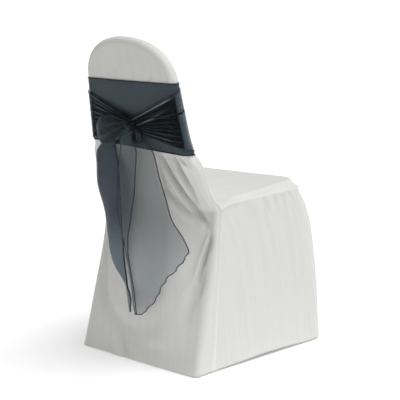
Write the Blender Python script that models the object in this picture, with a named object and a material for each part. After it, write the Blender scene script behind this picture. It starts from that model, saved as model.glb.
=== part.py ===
"""A fitted cover for a stacking banquet chair, with an organza sash tied behind its back.

Five cut pieces, each a solid of its own: the outer back, which runs from the crown of the hood
to the rear hem and turns round the edges, the inner back, the seat panel, one skirt round the
sides and the front, and the tied sash. Inside each mesh, heights are measured from the floor.
Each object then hangs so low that the origin is under the middle of the seat, on the underside
of the cloth. +Z is up, the sitter faces -Y and the bow is on the +Y side.
"""
import math
from collections import namedtuple

import bmesh
import bpy

# Driving dimensions in metres
CLOTH = 0.0020          # thickness of the cover's panels
ORGANZA = 0.0014        # thickness of the sash's solid
SEAM_GAP = 0.0004       # what two panels leave between them at a seam
MERGE = 0.00005         # points closer than this are one point
SEAT_HEIGHT = 0.4700    # the seat panel's seam at the front, above the floor
SEAT_CROWN = 0.0190     # rise of the seat from its seam to its middle
CROWN_SHARE = 0.15      # the share of the way in over which it rises
SEAT_PITCH = 0.0300     # how much higher it is towards the front, for a metre
SEAT_REAR_DROP = 0.0180 # how much lower the seam is at the rear corners
REAR_DROP_START = 0.0500                         # where, towards the rear, it starts to dip
REAR_DROP_OVER = 0.0800
SEAT_ORIGIN = SEAT_HEIGHT + SEAT_CROWN - CLOTH   # height of the origin above the floor
HOOD_TOP = 0.9250
SHOULDER = 0.8000       # height at which the crown's curve starts
HOOD_START = 0.6200     # above this the side band turns straight round the hood
CROWN_POWER = 2.2       # 2 would be an ellipse
RECLINE = 0.1900        # how far the back leans, metres back for a metre up
SASH_LOW = 0.6175       # lower and upper edge of the sash's band, which runs level
SASH_HIGH = 0.8040      # in its middle and is narrower on the far side
SASH_TILT = 0.0250

POLYESTER = (0.78, 0.78, 0.76)         # linear colours
ORGANZA_GREY = (0.075, 0.085, 0.105)

# The outer back, one row for each height: half its width, how far back its edge and its middle
# are, the radius it turns with, and where its seam to the next panel lies.
BackRow = namedtuple("BackRow", "height half_width edge middle radius seam_x seam_y")
BACK_ROWS = (
    BackRow(0.000, 0.2257, 0.2450, 0.2450, 0.012, 0.2260, 0.1680),
    BackRow(0.100, 0.2237, 0.2215, 0.2370, 0.018, 0.2240, 0.1600),
    BackRow(0.200, 0.2212, 0.1975, 0.2290, 0.020, 0.2215, 0.1515),
    BackRow(0.310, 0.2182, 0.1700, 0.2200, 0.018, 0.2185, 0.1430),
    BackRow(0.400, 0.2162, 0.1545, 0.2130, 0.015, 0.2165, 0.1355),
    BackRow(0.445, 0.2158, 0.1480, 0.2100, 0.014, 0.2160, 0.1315),
    BackRow(0.475, 0.2060, 0.1680, 0.2120, 0.014, 0.2070, 0.1490),
    BackRow(0.510, 0.2030, 0.1880, 0.2180, 0.015, 0.2035, 0.1670),
    BackRow(0.550, 0.2030, 0.2080, 0.2255, 0.016, 0.2050, 0.1820),
    BackRow(0.580, 0.1960, 0.2220, 0.2313, 0.016, 0.1975, 0.1920),
    BackRow(0.610, 0.1815, 0.2340, 0.2370, 0.016, 0.1800, 0.2030),
    BackRow(0.650, 0.1770, 0.2425, 0.2446, 0.016, 0.1770, 0.2105),
    BackRow(0.800, 0.1640, 0.2715, 0.2731, 0.016, 0.1640, 0.2355),
)
BAND_REACH = 0.0320     # width of the side band round the hood
BAND_TAPER = 0.0060     # how much narrower the hood is at the band's front edge
TAPER_START = 0.6100    # height at which it starts to narrow
TAPER_OVER = 0.0600     # and over which height it gets there
SEAM_SLACK = 1.5        # how many seam gaps the skirt keeps behind the side band

# Creases of the rear: troughs as negative depths and ridges as positive ones, each along three
# points (x, height) on the outer back, with the half width of the crease.
Crease = namedtuple("Crease", "x0 h0 x1 h1 x2 h2 half_width depth")
CREASE_ENDS = 0.12      # how far a crease has faded at its ends, as a part of half a wave
CREASE_REACH = 3.0      # how many half widths away a crease is still felt
CREASE_CALM = 0.90      # the share of a crease that dies out beside the seam
CREASE_CALM_START = 0.82                         # and from where on, as a share of half the width
FACE_FLAT = 0.42        # the share of half the width over which the rear is flat
REAR_CREASES = (
    Crease(-0.125, 0.590, -0.150, 0.545, -0.172, 0.495, 0.008, -0.0050),
    Crease(-0.118, 0.525, -0.152, 0.480, -0.200, 0.432, 0.009, -0.0060),
    Crease(-0.140, 0.605, -0.156, 0.590, -0.168, 0.575, 0.006, -0.0035),
    Crease(-0.105, 0.470, -0.140, 0.455, -0.170, 0.440, 0.011, -0.0035),
    Crease(-0.212, 0.425, -0.196, 0.360, -0.160, 0.270, 0.012, -0.0060),
    Crease(0.150, 0.560, 0.172, 0.500, 0.198, 0.445, 0.011, -0.0045),
    Crease(0.196, 0.420, 0.176, 0.330, 0.130, 0.230, 0.014, -0.0050),
    Crease(0.150, 0.330, 0.128, 0.190, 0.120, 0.060, 0.024, -0.0070),
    Crease(-0.020, 0.300, -0.040, 0.170, -0.030, 0.030, 0.030, -0.0050),
    Crease(0.040, 0.360, 0.050, 0.180, 0.060, 0.020, 0.028, 0.0050),
    Crease(-0.120, 0.240, -0.110, 0.120, -0.130, 0.020, 0.024, 0.0045),
)

# Small gathers under the seat's seam: distance along the seam from the middle of the front,
# how far down they run, half width and depth. The side that the photo shows is negative.
Gather = namedtuple("Gather", "along drop half_width depth")
SKIRT_GATHERS = (
    Gather(-0.479, 0.060, 0.009, -0.0030),
    Gather(-0.430, 0.060, 0.010, -0.0035),
    Gather(-0.354, 0.080, 0.010, -0.0035),
    Gather(-0.299, 0.070, 0.010, -0.0035),
    Gather(-0.215, 0.300, 0.020, -0.0060),
    Gather(-0.100, 0.260, 0.030, -0.0050),
    Gather(0.010, 0.320, 0.032, 0.0050),
    Gather(0.110, 0.250, 0.028, -0.0050),
    Gather(0.215, 0.300, 0.020, -0.0060),
    Gather(0.320, 0.090, 0.012, -0.0035),
    Gather(0.400, 0.110, 0.012, -0.0035),
    Gather(0.470, 0.060, 0.010, -0.0030),
)

# Two outlines that the skirt hangs between, from above: the seat's seam and the hem on the floor
Plan = namedtuple("Plan", "rear_x rear_y front_x front_y corner")
SEAT_SEAM = Plan(0.2120, 0.1325, 0.2230, -0.2240, 0.044)
FLOOR_HEM = Plan(0.2260, 0.1680, 0.2530, -0.3020, 0.044)
HEM_CLEAR = 0.0035      # the hem hangs this far above the floor
HEM_LIFT = 0.0070       # and this much more halfway along each side
FRONT_ROLL = (0.065, 0.075, 0.030)   # how far the front falls forward, over which drop, and its lean
SIDE_ROLL = (0.002, 0.010, 0.060)
SEAM_TURN = 0.0040      # radius that the skirt turns down with, beside the seam
FRONT_ROLL_END, FRONT_ROLL_FADE = 0.56, 0.20     # where on the outline the front's roll ends
GATHER_START = 0.012    # how far under the seam a gather is at its full depth
REAR_BLEND = 0.20       # the share of a side over which the skirt comes to the seam behind it


def smooth(x):
    """0 below 0, 1 above 1 and a soft step between."""
    x = min(max(x, 0.0), 1.0)
    return x * x * (3.0 - 2.0 * x)


def mix(a, b, t):
    return a + (b - a) * t


def read_rows(rows, column, height):
    """A column of a table at a height, on a smooth curve through the rows."""
    xs = [row[0] for row in rows]
    ys = [getattr(row, column) for row in rows]
    if height <= xs[0]:
        return ys[0]
    if height >= xs[-1]:
        return ys[-1]
    k = max(i for i, x in enumerate(xs) if x <= height)
    step = xs[k + 1] - xs[k]
    slope = [(ys[i + 1] - ys[i]) / (xs[i + 1] - xs[i]) for i in range(len(xs) - 1)]

    def tangent(i):
        """Zero at a turning point, so that the curve never overshoots a row."""
        if i == 0 or i == len(xs) - 1:
            return slope[min(i, len(slope) - 1)]
        before, after = slope[i - 1], slope[i]
        return 0.0 if before * after <= 0 else 2 * before * after / (before + after)

    t = (height - xs[k]) / step
    start, end = tangent(k) * step, tangent(k + 1) * step
    return ((2 * t**3 - 3 * t**2 + 1) * ys[k] + (t**3 - 2 * t**2 + t) * start
            + (3 * t**2 - 2 * t**3) * ys[k + 1] + (t**3 - t**2) * end)


def back_at(column, height):
    """The outer back's table, carried on up the hood along the back's lean."""
    value = read_rows(BACK_ROWS, column, height)
    if column in ("edge", "middle", "seam_y"):
        value += RECLINE * max(height - SHOULDER, 0.0)
    return value


def near_line(crease, x, height):
    """How far a point is from a crease's bent line, and how far along it, from 0 to 1."""
    points = ((crease.x0, crease.h0), (crease.x1, crease.h1), (crease.x2, crease.h2))
    best = (math.inf, 0.0)
    for k in range(2):
        (ax, az), (bx, bz) = points[k], points[k + 1]
        dx, dz = bx - ax, bz - az
        t = ((x - ax) * dx + (height - az) * dz) / (dx * dx + dz * dz)
        t = min(max(t, 0.0), 1.0)
        away = math.hypot(x - ax - t * dx, height - az - t * dz)
        best = min(best, (away, (k + t) / 2))
    return best


def creases_at(x, height):
    """How far the creases push the rear's cloth out at a point."""
    push = 0.0
    for crease in REAR_CREASES:
        away, along = near_line(crease, x, height)
        if away < CREASE_REACH * crease.half_width:
            fade = math.sin(math.pi * mix(CREASE_ENDS, 1.0 - CREASE_ENDS, along))
            push += crease.depth * fade * math.exp(-((away / crease.half_width) ** 2))
    return push


# How the rear's face is laid out: columns across, rows up the sides, and rows of the band
FACE_COLUMNS = 20
BAND_ROWS = 4
ROW_HEIGHTS = ([0.0035 + 0.0565 * k for k in range(7)]
               + [0.375 + 0.0215 * k for k in range(12)] + [0.660, 0.715, 0.765])
ARCH_SPAN = math.radians(46.0)     # the top row covers the crown to this far from upright
SHOULDER_ROWS = 3       # rows between the shoulder and the top row
BEND_START = 0.60       # height at which the rows start to bend up to the crown
BEND_POWER = 1.5
SLOPE_STEP = 0.002      # half the height over which the outline's slope is read


def crown_point(angle, inset=0.0):
    """A point of the crown's outline, at an angle from +X, as x, height and its outward turn."""
    reach = (back_at("half_width", SHOULDER), HOOD_TOP - SHOULDER)
    c, s = math.cos(angle), math.sin(angle)
    x = reach[0] * math.copysign(abs(c) ** (2 / CROWN_POWER), c)
    z = SHOULDER + reach[1] * abs(s) ** (2 / CROWN_POWER)
    nx = math.copysign(abs(c) ** (2 - 2 / CROWN_POWER), c) / reach[0]
    nz = abs(s) ** (2 - 2 / CROWN_POWER) / reach[1]
    long = math.hypot(nx, nz)
    nx, nz = nx / long, nz / long
    return x - inset * nx, z - inset * nz, nx, nz


def outline_side(b, inset=0.0):
    """The side of the outline, from the hem (b = 0) to where the top row starts (b = 1)."""
    rows = len(ROW_HEIGHTS)
    k = b * (rows + SHOULDER_ROWS)
    if k <= rows - 1:
        low = min(int(k), rows - 2)
        height = mix(ROW_HEIGHTS[low], ROW_HEIGHTS[low + 1], k - low)
        half = back_at("half_width", height)
        above, below = (back_at("half_width", height + step) for step in (SLOPE_STEP, -SLOPE_STEP))
        slope = (above - below) / (2 * SLOPE_STEP)
        long = math.hypot(1.0, slope)
        return half - inset, height, 1 / long, -slope / long
    if k < rows:
        height = mix(ROW_HEIGHTS[-1], SHOULDER, k - rows + 1)
        return back_at("half_width", height) - inset, height, 1.0, 0.0
    return crown_point((k - rows) / SHOULDER_ROWS * (math.pi / 2 - ARCH_SPAN), inset)


def outline(a, b, inset=0.0):
    """The outline next to a face point: up the sides while |a| is 1, over the crown above b = 1."""
    if b >= 1.0 and abs(a) <= 1.0:
        return crown_point(math.pi / 2 - a * ARCH_SPAN, inset)
    x, z, nx, nz = outline_side(b, inset)
    return (x, z, nx, nz) if a > 0 else (-x, z, -nx, nz)


def face_spot(a, b, inset):
    """Where a point of the face lies, as x and height: straight rows that bend up to the crown."""
    x, z, _, _ = outline_side(b, inset)
    end_x, end_z, _, _ = outline_side(1.0, inset)
    top_x, top_z, _, _ = crown_point(math.pi / 2 - a * ARCH_SPAN, inset)
    pull = smooth((z - BEND_START) / (end_z - BEND_START)) ** BEND_POWER if b < 1 else 1.0
    return a * x + (top_x - a * end_x) * pull, z + (top_z - end_z) * pull


def rear_depth(x, height, half):
    """How far back the rear face lies at a point."""
    across = min(abs(x) / half, 1.0)
    bow = smooth((across - FACE_FLAT) / (1.0 - FACE_FLAT))
    left = 1.0 - CREASE_CALM * smooth((across - CREASE_CALM_START) / (1.0 - CREASE_CALM_START))
    return mix(back_at("middle", height), back_at("edge", height), bow) + left * creases_at(x, height)


def band_taper(height):
    """How far the side band's front edge is set in, which grows from the hood's foot."""
    return BAND_TAPER * smooth((height - TAPER_START) / TAPER_OVER)


def outer_back_point(a, b):
    """A point of the outer back. Past 1, a and b run over the turned edge to the seam."""
    band = max(abs(a) - 1.0, b - 1.0, 0.0)
    face_a, face_b = min(max(a, -1.0), 1.0), min(b, 1.0)
    edge_x, edge_z, nx, nz = outline(face_a, b if b > 1 else face_b)
    radius = back_at("radius", edge_z)
    if band == 0.0:
        x, z = face_spot(face_a, face_b, radius)
        return x, rear_depth(x, z, back_at("half_width", min(z, SHOULDER)) - radius), z
    if b > 1.0:
        face_b = 1.0
    x, z = face_spot(face_a, face_b, radius)
    y = rear_depth(x, z, back_at("half_width", min(z, SHOULDER)) - radius)
    turned = (x + radius * nx, y - radius, z + radius * nz)
    if edge_z > HOOD_START:
        taper = band_taper(edge_z)
        seam = (turned[0] - taper * nx, y - BAND_REACH, turned[2] - taper * nz)
    else:
        seam = (math.copysign(back_at("seam_x", edge_z), x), back_at("seam_y", edge_z), turned[2])
    if band <= 0.5:
        turn = band / 0.5 * math.pi / 2
        return (x + radius * nx * math.sin(turn), y - radius * (1 - math.cos(turn)),
                z + radius * nz * math.sin(turn))
    t = (band - 0.5) / 0.5
    return tuple(mix(p, q, t) for p, q in zip(turned, seam))


def grid_piece(name, columns, rows, place, keep=None, thickness=CLOTH, flip=False):
    """A grid of faces put in place point by point, given its thickness inwards."""
    bm = bmesh.new()
    bmesh.ops.create_grid(bm, x_segments=columns, y_segments=rows, size=0.5)
    spots = {vert: (round((vert.co.x + 0.5) * columns), round((vert.co.y + 0.5) * rows))
             for vert in bm.verts}
    if keep:
        corners = [face for face in bm.faces
                   if not keep(*(sum(spots[v][k] for v in face.verts) / len(face.verts) for k in (0, 1)))]
        bmesh.ops.delete(bm, geom=corners, context="FACES")
    for vert in bm.verts:
        vert.co = place(*spots[vert])
    bmesh.ops.remove_doubles(bm, verts=bm.verts, dist=MERGE)
    if flip:
        bmesh.ops.reverse_faces(bm, faces=bm.faces)
    return finish_piece(name, bm, thickness)


def finish_piece(name, bm, thickness):
    """Puts a mesh into an object and gives a sheet its thickness."""
    mesh = bpy.data.meshes.new(name)
    bm.to_mesh(mesh)
    bm.free()
    piece = bpy.data.objects.new(name, mesh)
    piece.location.z = -SEAT_ORIGIN
    bpy.context.scene.collection.objects.link(piece)
    if not thickness:
        return piece
    wall = piece.modifiers.new("thickness", "SOLIDIFY")
    wall.thickness = thickness
    wall.offset = -1.0
    wall.use_even_offset = True
    wall.use_quality_normals = True
    return piece


def dress(piece, cloth, colour, roughness):
    """Gives a piece a material of its own."""
    material = bpy.data.materials.new(piece.name + " " + cloth)
    material.use_nodes = True
    shader = material.node_tree.nodes["Principled BSDF"]
    shader.inputs["Base Color"].default_value = (*colour, 1.0)
    shader.inputs["Roughness"].default_value = roughness
    shader.inputs["Metallic"].default_value = 0.0
    piece.data.materials.append(material)


def seam_height(y):
    """Height of the seat's seam, which dips to the rear corners."""
    return SEAT_HEIGHT - SEAT_REAR_DROP * smooth((y - REAR_DROP_START) / REAR_DROP_OVER)


FRONT_END, CORNER_END = 0.36, 0.50       # where on a plan's outline the front and its corner end


def plan_point(plan, s):
    """A point of a U-shaped outline, s from -1 (rear of the -X side) to 1, and its outward turn."""
    t = abs(s)
    sign = -1.0 if s < 0 else 1.0
    corner = plan.corner
    lean = (plan.rear_x - plan.front_x) / (plan.rear_y - plan.front_y)
    if t <= FRONT_END:                             # across the front
        x, y, nx, ny = t / FRONT_END * (plan.front_x - corner), plan.front_y, 0.0, -1.0
    elif t <= CORNER_END:                          # round the corner
        turn = (t - FRONT_END) / (CORNER_END - FRONT_END) * math.pi / 2
        nx, ny = math.sin(turn), -math.cos(turn)
        x, y = plan.front_x - corner + corner * nx, plan.front_y + corner + corner * ny
    else:                                          # back along the side
        y = mix(plan.front_y + corner, plan.rear_y, (t - CORNER_END) / (1.0 - CORNER_END))
        x, nx, ny = plan.front_x + lean * (y - plan.front_y - corner), 1.0, 0.0
    return sign * x, y, sign * nx, ny


def seam_distance(s):
    """Distance along the seat's seam from the middle of the front, signed."""
    t = abs(s)
    plan = SEAT_SEAM
    front, arc = plan.front_x - plan.corner, plan.corner * math.pi / 2
    side = plan.rear_y - plan.front_y - plan.corner
    way = (front * min(t / FRONT_END, 1.0)
           + arc * min(max((t - FRONT_END) / (CORNER_END - FRONT_END), 0.0), 1.0)
           + side * max((t - CORNER_END) / (1.0 - CORNER_END), 0.0))
    return math.copysign(way, s)


def roll_out(shape, drop):
    """How far cloth has moved outwards after falling by drop."""
    reach, over, lean = shape
    return reach * (1.0 - math.exp(-drop / over)) + lean * drop


def skirt_point(s, turn, t):
    """A point of the skirt: s round the outline, first over its turned edge, then down to the hem."""
    top_x, top_y, nx, ny = plan_point(SEAT_SEAM, s)
    hem_x, hem_y, _, _ = plan_point(FLOOR_HEM, s)
    start = seam_height(top_y) - SEAM_TURN * (1.0 - math.cos(turn))
    out = SEAM_GAP + SEAM_TURN * math.sin(turn)
    end = HEM_CLEAR + HEM_LIFT * math.sin(math.pi * smooth((abs(s) - CORNER_END) / (1.0 - CORNER_END)))
    fall, whole = (start - end) * t, start - end
    front = smooth((FRONT_ROLL_END - abs(s)) / FRONT_ROLL_FADE)
    share = mix(roll_out(SIDE_ROLL, fall) / roll_out(SIDE_ROLL, whole),
                roll_out(FRONT_ROLL, fall) / roll_out(FRONT_ROLL, whole), front)
    push = 0.0
    for gather in SKIRT_GATHERS:
        spread = gather.half_width * (1.0 + fall / gather.drop)
        fade = max(1.0 - fall / gather.drop, 0.0) * smooth(fall / GATHER_START)
        push += gather.depth * fade * math.exp(-((seam_distance(s) - gather.along) / spread) ** 2)
    x = mix(top_x + nx * out, hem_x, share) + nx * push
    y = mix(top_y + ny * out, hem_y, share) + ny * push
    height = start - fall
    rear = smooth((abs(s) - 1.0 + REAR_BLEND) / REAR_BLEND)    # it follows the outer back's seam
    if t > 0.0:
        x = mix(x, math.copysign(back_at("seam_x", height), s), rear)
    return x, mix(y, back_at("seam_y", height) - SEAM_SLACK * SEAM_GAP, rear), height


SKIRT_TURNS = 3
SKIRT_DROPS = (0.020, 0.05, 0.10, 0.17, 0.27, 0.40, 0.55, 0.70, 0.85, 1.0)
SKIRT_COLUMNS = 66


def make_skirt():
    """One panel round both sides and the front."""
    def place(i, j):
        s = 2.0 * i / SKIRT_COLUMNS - 1.0
        turn = min(j / SKIRT_TURNS, 1.0) * math.pi / 2
        return skirt_point(s, turn, SKIRT_DROPS[j - SKIRT_TURNS - 1] if j > SKIRT_TURNS else 0.0)
    return grid_piece("skirt", SKIRT_COLUMNS, SKIRT_TURNS + len(SKIRT_DROPS), place, flip=True)


SEAT_RINGS = (0.0, 0.18, 0.36, 0.54, 0.70, 0.82, 0.90, 0.955, 1.0)     # from its middle to its seam
SEAT_COLUMNS = 2 * (len(SEAT_RINGS) - 1)
SEAT_INSET = 0.0006     # what the seat's edge leaves free inside the seam's line
SEAT_REACH = 0.0030     # how far it reaches under the inner back's lower edge
SEAT_MIDDLE = (0.0, -0.020)
SEAT_REST = 0.4555      # height at which the inner back meets the seat
INNER_BULGE = 0.007     # how far the padded back swells towards the sitter
CORNER_TURN = 0.43      # the middle of a front corner on a plan's outline


def inner_depth(a, height):
    """How far back the sitter's side of the hood lies, from one side band (-1) to the other (1)."""
    seam = back_at("edge", height) - BAND_REACH if height > HOOD_START else back_at("seam_y", height)
    plane = back_at("edge", HOOD_START) - BAND_REACH + RECLINE * (height - HOOD_START)
    return mix(max(plane, seam), seam, abs(a) ** 4) - INNER_BULGE * (1.0 - a**4)


def seat_outline(a, b):
    """The seat panel's outline for a point on the edge of a square from -1 to 1."""
    if b >= 1.0:
        back = SEAT_SEAM.rear_y + inner_depth(a, SEAT_REST) - inner_depth(1.0, SEAT_REST)
        back += SEAT_REACH * (1.0 - a**4)
        return a * SEAT_SEAM.rear_x, back
    s = CORNER_TURN * a if b <= -1.0 else math.copysign(mix(CORNER_TURN, 1.0, (b + 1.0) / 2), a)
    x, y, nx, ny = plan_point(SEAT_SEAM._replace(corner=SEAT_SEAM.corner + CLOTH), s)
    return x - SEAT_INSET * nx, y - SEAT_INSET * ny


def make_seat_panel():
    """The panel over the seat, laid out in rings from its middle to its seam."""
    def place(i, j):
        a, b = 2.0 * i / SEAT_COLUMNS - 1.0, 2.0 * j / SEAT_COLUMNS - 1.0
        square = max(abs(a), abs(b))
        ring = SEAT_RINGS[round(square * SEAT_COLUMNS / 2)]
        if ring == 0.0:
            x, y = SEAT_MIDDLE
        else:
            edge = seat_outline(a / square, b / square)
            x, y = (mix(m, e, ring) for m, e in zip(SEAT_MIDDLE, edge))
        return x, y, seam_height(y) + (SEAT_CROWN - SEAT_PITCH * y) * smooth((1.0 - ring) / CROWN_SHARE)
    return grid_piece("seat_panel", SEAT_COLUMNS, SEAT_COLUMNS, place)


def make_outer_back():
    """The panel that is seen from behind."""
    rows = len(ROW_HEIGHTS) + SHOULDER_ROWS

    def place(i, j):
        i -= BAND_ROWS
        if i < 0:
            a = -1.0 + i / BAND_ROWS
        elif i > FACE_COLUMNS:
            a = 1.0 + (i - FACE_COLUMNS) / BAND_ROWS
        else:
            a = 2.0 * i / FACE_COLUMNS - 1.0
        b = j / rows if j <= rows else 1.0 + (j - rows) / BAND_ROWS
        return outer_back_point(a, b)

    def keep(i, j):
        return j < rows or BAND_ROWS < i < BAND_ROWS + FACE_COLUMNS
    return grid_piece("outer_back", FACE_COLUMNS + 2 * BAND_ROWS, rows + BAND_ROWS, place, keep, flip=True)


SEAT_CLEAR = 0.0010     # room under the inner back's lower edge, which leans
CORNER_CLEAR = 1.5      # how much more of it there is at the corners
INNER_FLARE = 0.0025    # and beside it, where the side band slopes
FLARE_OVER = 0.0400     # height over which that is taken in
INNER_BEND = 3          # how late the panel comes forward to the band under the crown
INNER_HEIGHTS = (0.0, 0.020, 0.055, 0.095, 0.125, 0.156, 0.2045, 0.2595, 0.3095)


def make_inner_back():
    """The sitter's side of the hood, which fits between the side bands."""
    inset = CLOTH + SEAM_GAP
    rows = len(INNER_HEIGHTS) + SHOULDER_ROWS

    def side(j):
        """The side of the panel at a row: x and height."""
        if j < len(INNER_HEIGHTS):
            height = SEAT_REST + INNER_HEIGHTS[j]
            column = "seam_x" if height < HOOD_START else "half_width"
            flare = INNER_FLARE * smooth((HOOD_START - height) / FLARE_OVER)
            return back_at(column, height) - inset - flare - band_taper(height), height
        k = (j - len(INNER_HEIGHTS)) / SHOULDER_ROWS
        x, z, _, _ = crown_point(k * (math.pi / 2 - ARCH_SPAN), inset + BAND_TAPER)
        return x, z

    def place(i, j):
        a = 2.0 * i / FACE_COLUMNS - 1.0
        x, z = side(j)
        end_x, end_z = side(rows)
        top_x, top_z, _, _ = crown_point(math.pi / 2 - a * ARCH_SPAN, inset + BAND_TAPER)
        pull = smooth((z - BEND_START) / (end_z - BEND_START)) ** BEND_POWER if j < rows else 1.0
        x, z = a * x + (top_x - a * end_x) * pull, z + (top_z - end_z) * pull
        y = mix(inner_depth(a, z), back_at("edge", z) - BAND_REACH, pull**INNER_BEND)
        if j == 0:
            z = seam_height(y) + SEAT_CLEAR * (1.0 + CORNER_CLEAR * a**4)
        return x, y, z
    return grid_piece("inner_back", FACE_COLUMNS, rows, place)


# The sash. Its flat band lies this far off the cover, and its gathered runs meet at the knot.
SASH_CLEAR = 0.0013
KNOT_X = -0.010
KNOT_HEIGHT = 0.683
KNOT_SIZE = (0.027, 0.017, 0.019)      # half its width, depth and height
FLAT_END, TURN_END, SIDE_END, FRONT_TURN_END = 0.44, 0.52, 0.60, 0.64   # parts of the way round the hood


def hood_point(height, way, out):
    """A point off the hood: way is 0 behind, 1 in front, and negative on the -X side."""
    t = abs(way)
    half, radius = back_at("half_width", height), back_at("radius", height)
    rear = back_at("edge", height)
    if t <= FLAT_END:
        x, nx, ny = t / FLAT_END * (half - radius), 0.0, 1.0
        y = mix(back_at("middle", height), rear, smooth((t / FLAT_END - FACE_FLAT) / (1.0 - FACE_FLAT)))
    elif t <= TURN_END:
        turn = (t - FLAT_END) / (TURN_END - FLAT_END) * math.pi / 2
        nx, ny = math.sin(turn), math.cos(turn)
        x, y = half - radius + radius * nx, rear - radius + radius * ny
    elif t <= SIDE_END:
        part = (t - TURN_END) / (SIDE_END - TURN_END)
        x, nx, ny = half - part * band_taper(height), 1.0, 0.0
        y = mix(rear - radius, rear - BAND_REACH, part)
    elif t <= FRONT_TURN_END:
        turn = (t - SIDE_END) / (FRONT_TURN_END - SIDE_END) * math.pi / 2
        x, y, nx, ny = half - band_taper(height), rear - BAND_REACH, math.cos(turn), -math.sin(turn)
    else:
        a = 1.0 - (t - FRONT_TURN_END) / (1.0 - FRONT_TURN_END)
        x, y, nx, ny = a * (half - band_taper(height)), inner_depth(a, height), 0.0, -1.0
    return math.copysign(x + out * nx, way), y + out * ny, height


BAND_WAYS = ([0.0, 0.11, 0.22, 0.33, 0.44, 0.467, 0.493, 0.52, 0.56, 0.60, 0.62, 0.64]
             + [0.70, 0.77, 0.84, 0.92, 1.0])
BAND_HEIGHTS = 5


def band_height(x, q):
    """A height on the sash's band, q from its lower edge to its upper one."""
    return mix(SASH_LOW + SASH_TILT * x, SASH_HIGH - SASH_TILT * x, q)


def make_band():
    """The flat round of the sash, closed in front of the sitter's back."""
    last = len(BAND_WAYS) - 1

    def place(i, j):
        way = math.copysign(BAND_WAYS[abs(i - last)], i - last)
        x, _, _ = hood_point(SASH_LOW, way, 0.0)
        return hood_point(band_height(x, j / BAND_HEIGHTS), way, SASH_CLEAR + ORGANZA)
    return grid_piece("sash", 2 * last, BAND_HEIGHTS, place, thickness=ORGANZA, flip=True)


# A gathered run: its side, the heights of its upper and lower edge where it parts from the band,
# and how many pleats it has.
Run = namedtuple("Run", "name side high low pleats")
RUNS = (Run("run_near", -1.0, 0.792, 0.622, 4.0), Run("run_far", 1.0, 0.768, 0.630, 3.5))
RUN_WAYS = (0.560, 0.520, 0.493, 0.467, 0.440, 0.370, 0.290, 0.210, 0.135, 0.070, 0.0)
RUN_ROWS = 16
RUN_LIFT = 0.016        # how far a run stands off the band at the knot
RUN_END = 0.013         # half its width there
PLEAT = 0.0032          # half the depth of a pleat
PLEAT_EASE = 0.7        # how much shallower the pleats are at the knot
RUN_BED = 1.3           # how many layers of the sash a run's middle is off the band
RUN_START = -0.5        # and where it leaves the band
RUN_CURVE = 1.4
PLEAT_ROOM = 0.7        # the share of the room over the band that a pleat may take


def make_run(run):
    """A fan of pleats from the side of the hood to the knot."""
    knot_way = KNOT_X / (back_at("half_width", KNOT_HEIGHT) - back_at("radius", KNOT_HEIGHT)) * FLAT_END

    def place(i, j):
        q = j / RUN_ROWS
        p = 1.0 - RUN_WAYS[i] / RUN_WAYS[0]
        way = run.side * RUN_WAYS[i] + knot_way * p**2
        low, high = mix(run.low, KNOT_HEIGHT - RUN_END, p), mix(run.high, KNOT_HEIGHT + RUN_END, p)
        lift = ORGANZA * (RUN_BED if i else RUN_START) + RUN_LIFT * p**RUN_CURVE
        room = min(PLEAT * (1.0 - PLEAT_EASE * p**2), PLEAT_ROOM * max(lift - RUN_BED * ORGANZA, 0.0))
        pleat = room * math.cos(2 * math.pi * run.pleats * q)
        return hood_point(mix(low, high, q), way, SASH_CLEAR + ORGANZA + lift + pleat)
    return grid_piece(run.name, len(RUN_WAYS) - 1, RUN_ROWS, place, thickness=ORGANZA, flip=run.side < 0)


KNOT_FOLD = (0.07, 9.0, 4.0)           # depth of the folds round it, and how they run up and across
KNOT_OUT = 1.1          # how far its middle is off the cover, as a share of its depth


def make_knot():
    """The knot: a ball pulled flat, with the strip's folds round it."""
    bm = bmesh.new()
    bmesh.ops.create_icosphere(bm, subdivisions=3, radius=1.0)
    for vert in bm.verts:
        x, y, z = vert.co
        fold = 1.0 + KNOT_FOLD[0] * math.cos(KNOT_FOLD[1] * z + KNOT_FOLD[2] * x)
        vert.co = (x * KNOT_SIZE[0] * fold, y * KNOT_SIZE[1] * fold, z * KNOT_SIZE[2] * fold)
    x, y, z = hood_point(KNOT_HEIGHT, 0.0, SASH_CLEAR + KNOT_OUT * KNOT_SIZE[1])
    bmesh.ops.translate(bm, verts=bm.verts, vec=(KNOT_X + x, y, z))
    return finish_piece("knot", bm, 0.0)


# The bow's loop, one row for each step from the knot to its fold: x, upper and lower edge
LoopRow = namedtuple("LoopRow", "x high low spread")
LOOP_ROWS = (
    LoopRow(0.000, 0.692, 0.674, 0.003),
    LoopRow(0.030, 0.699, 0.660, 0.007),
    LoopRow(0.060, 0.703, 0.640, 0.009),
    LoopRow(0.085, 0.701, 0.627, 0.009),
    LoopRow(0.105, 0.694, 0.626, 0.007),
)
LOOP_TIP = 0.010        # how far the fold reaches past the last row
LOOP_OFF = 0.0245       # its middle's distance from the band
LOOP_PINCH = 0.45       # the share of its last row's spread that is left at the fold
LOOP_CUP = 0.50         # and the share of a row's spread that is gone at its edges
LOOP_EDGE = 0.010       # how far its far end is rounded off
LOOP_LEAN = 0.012       # and leans back at its upper edge
LOOP_CELLS = 6


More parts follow.
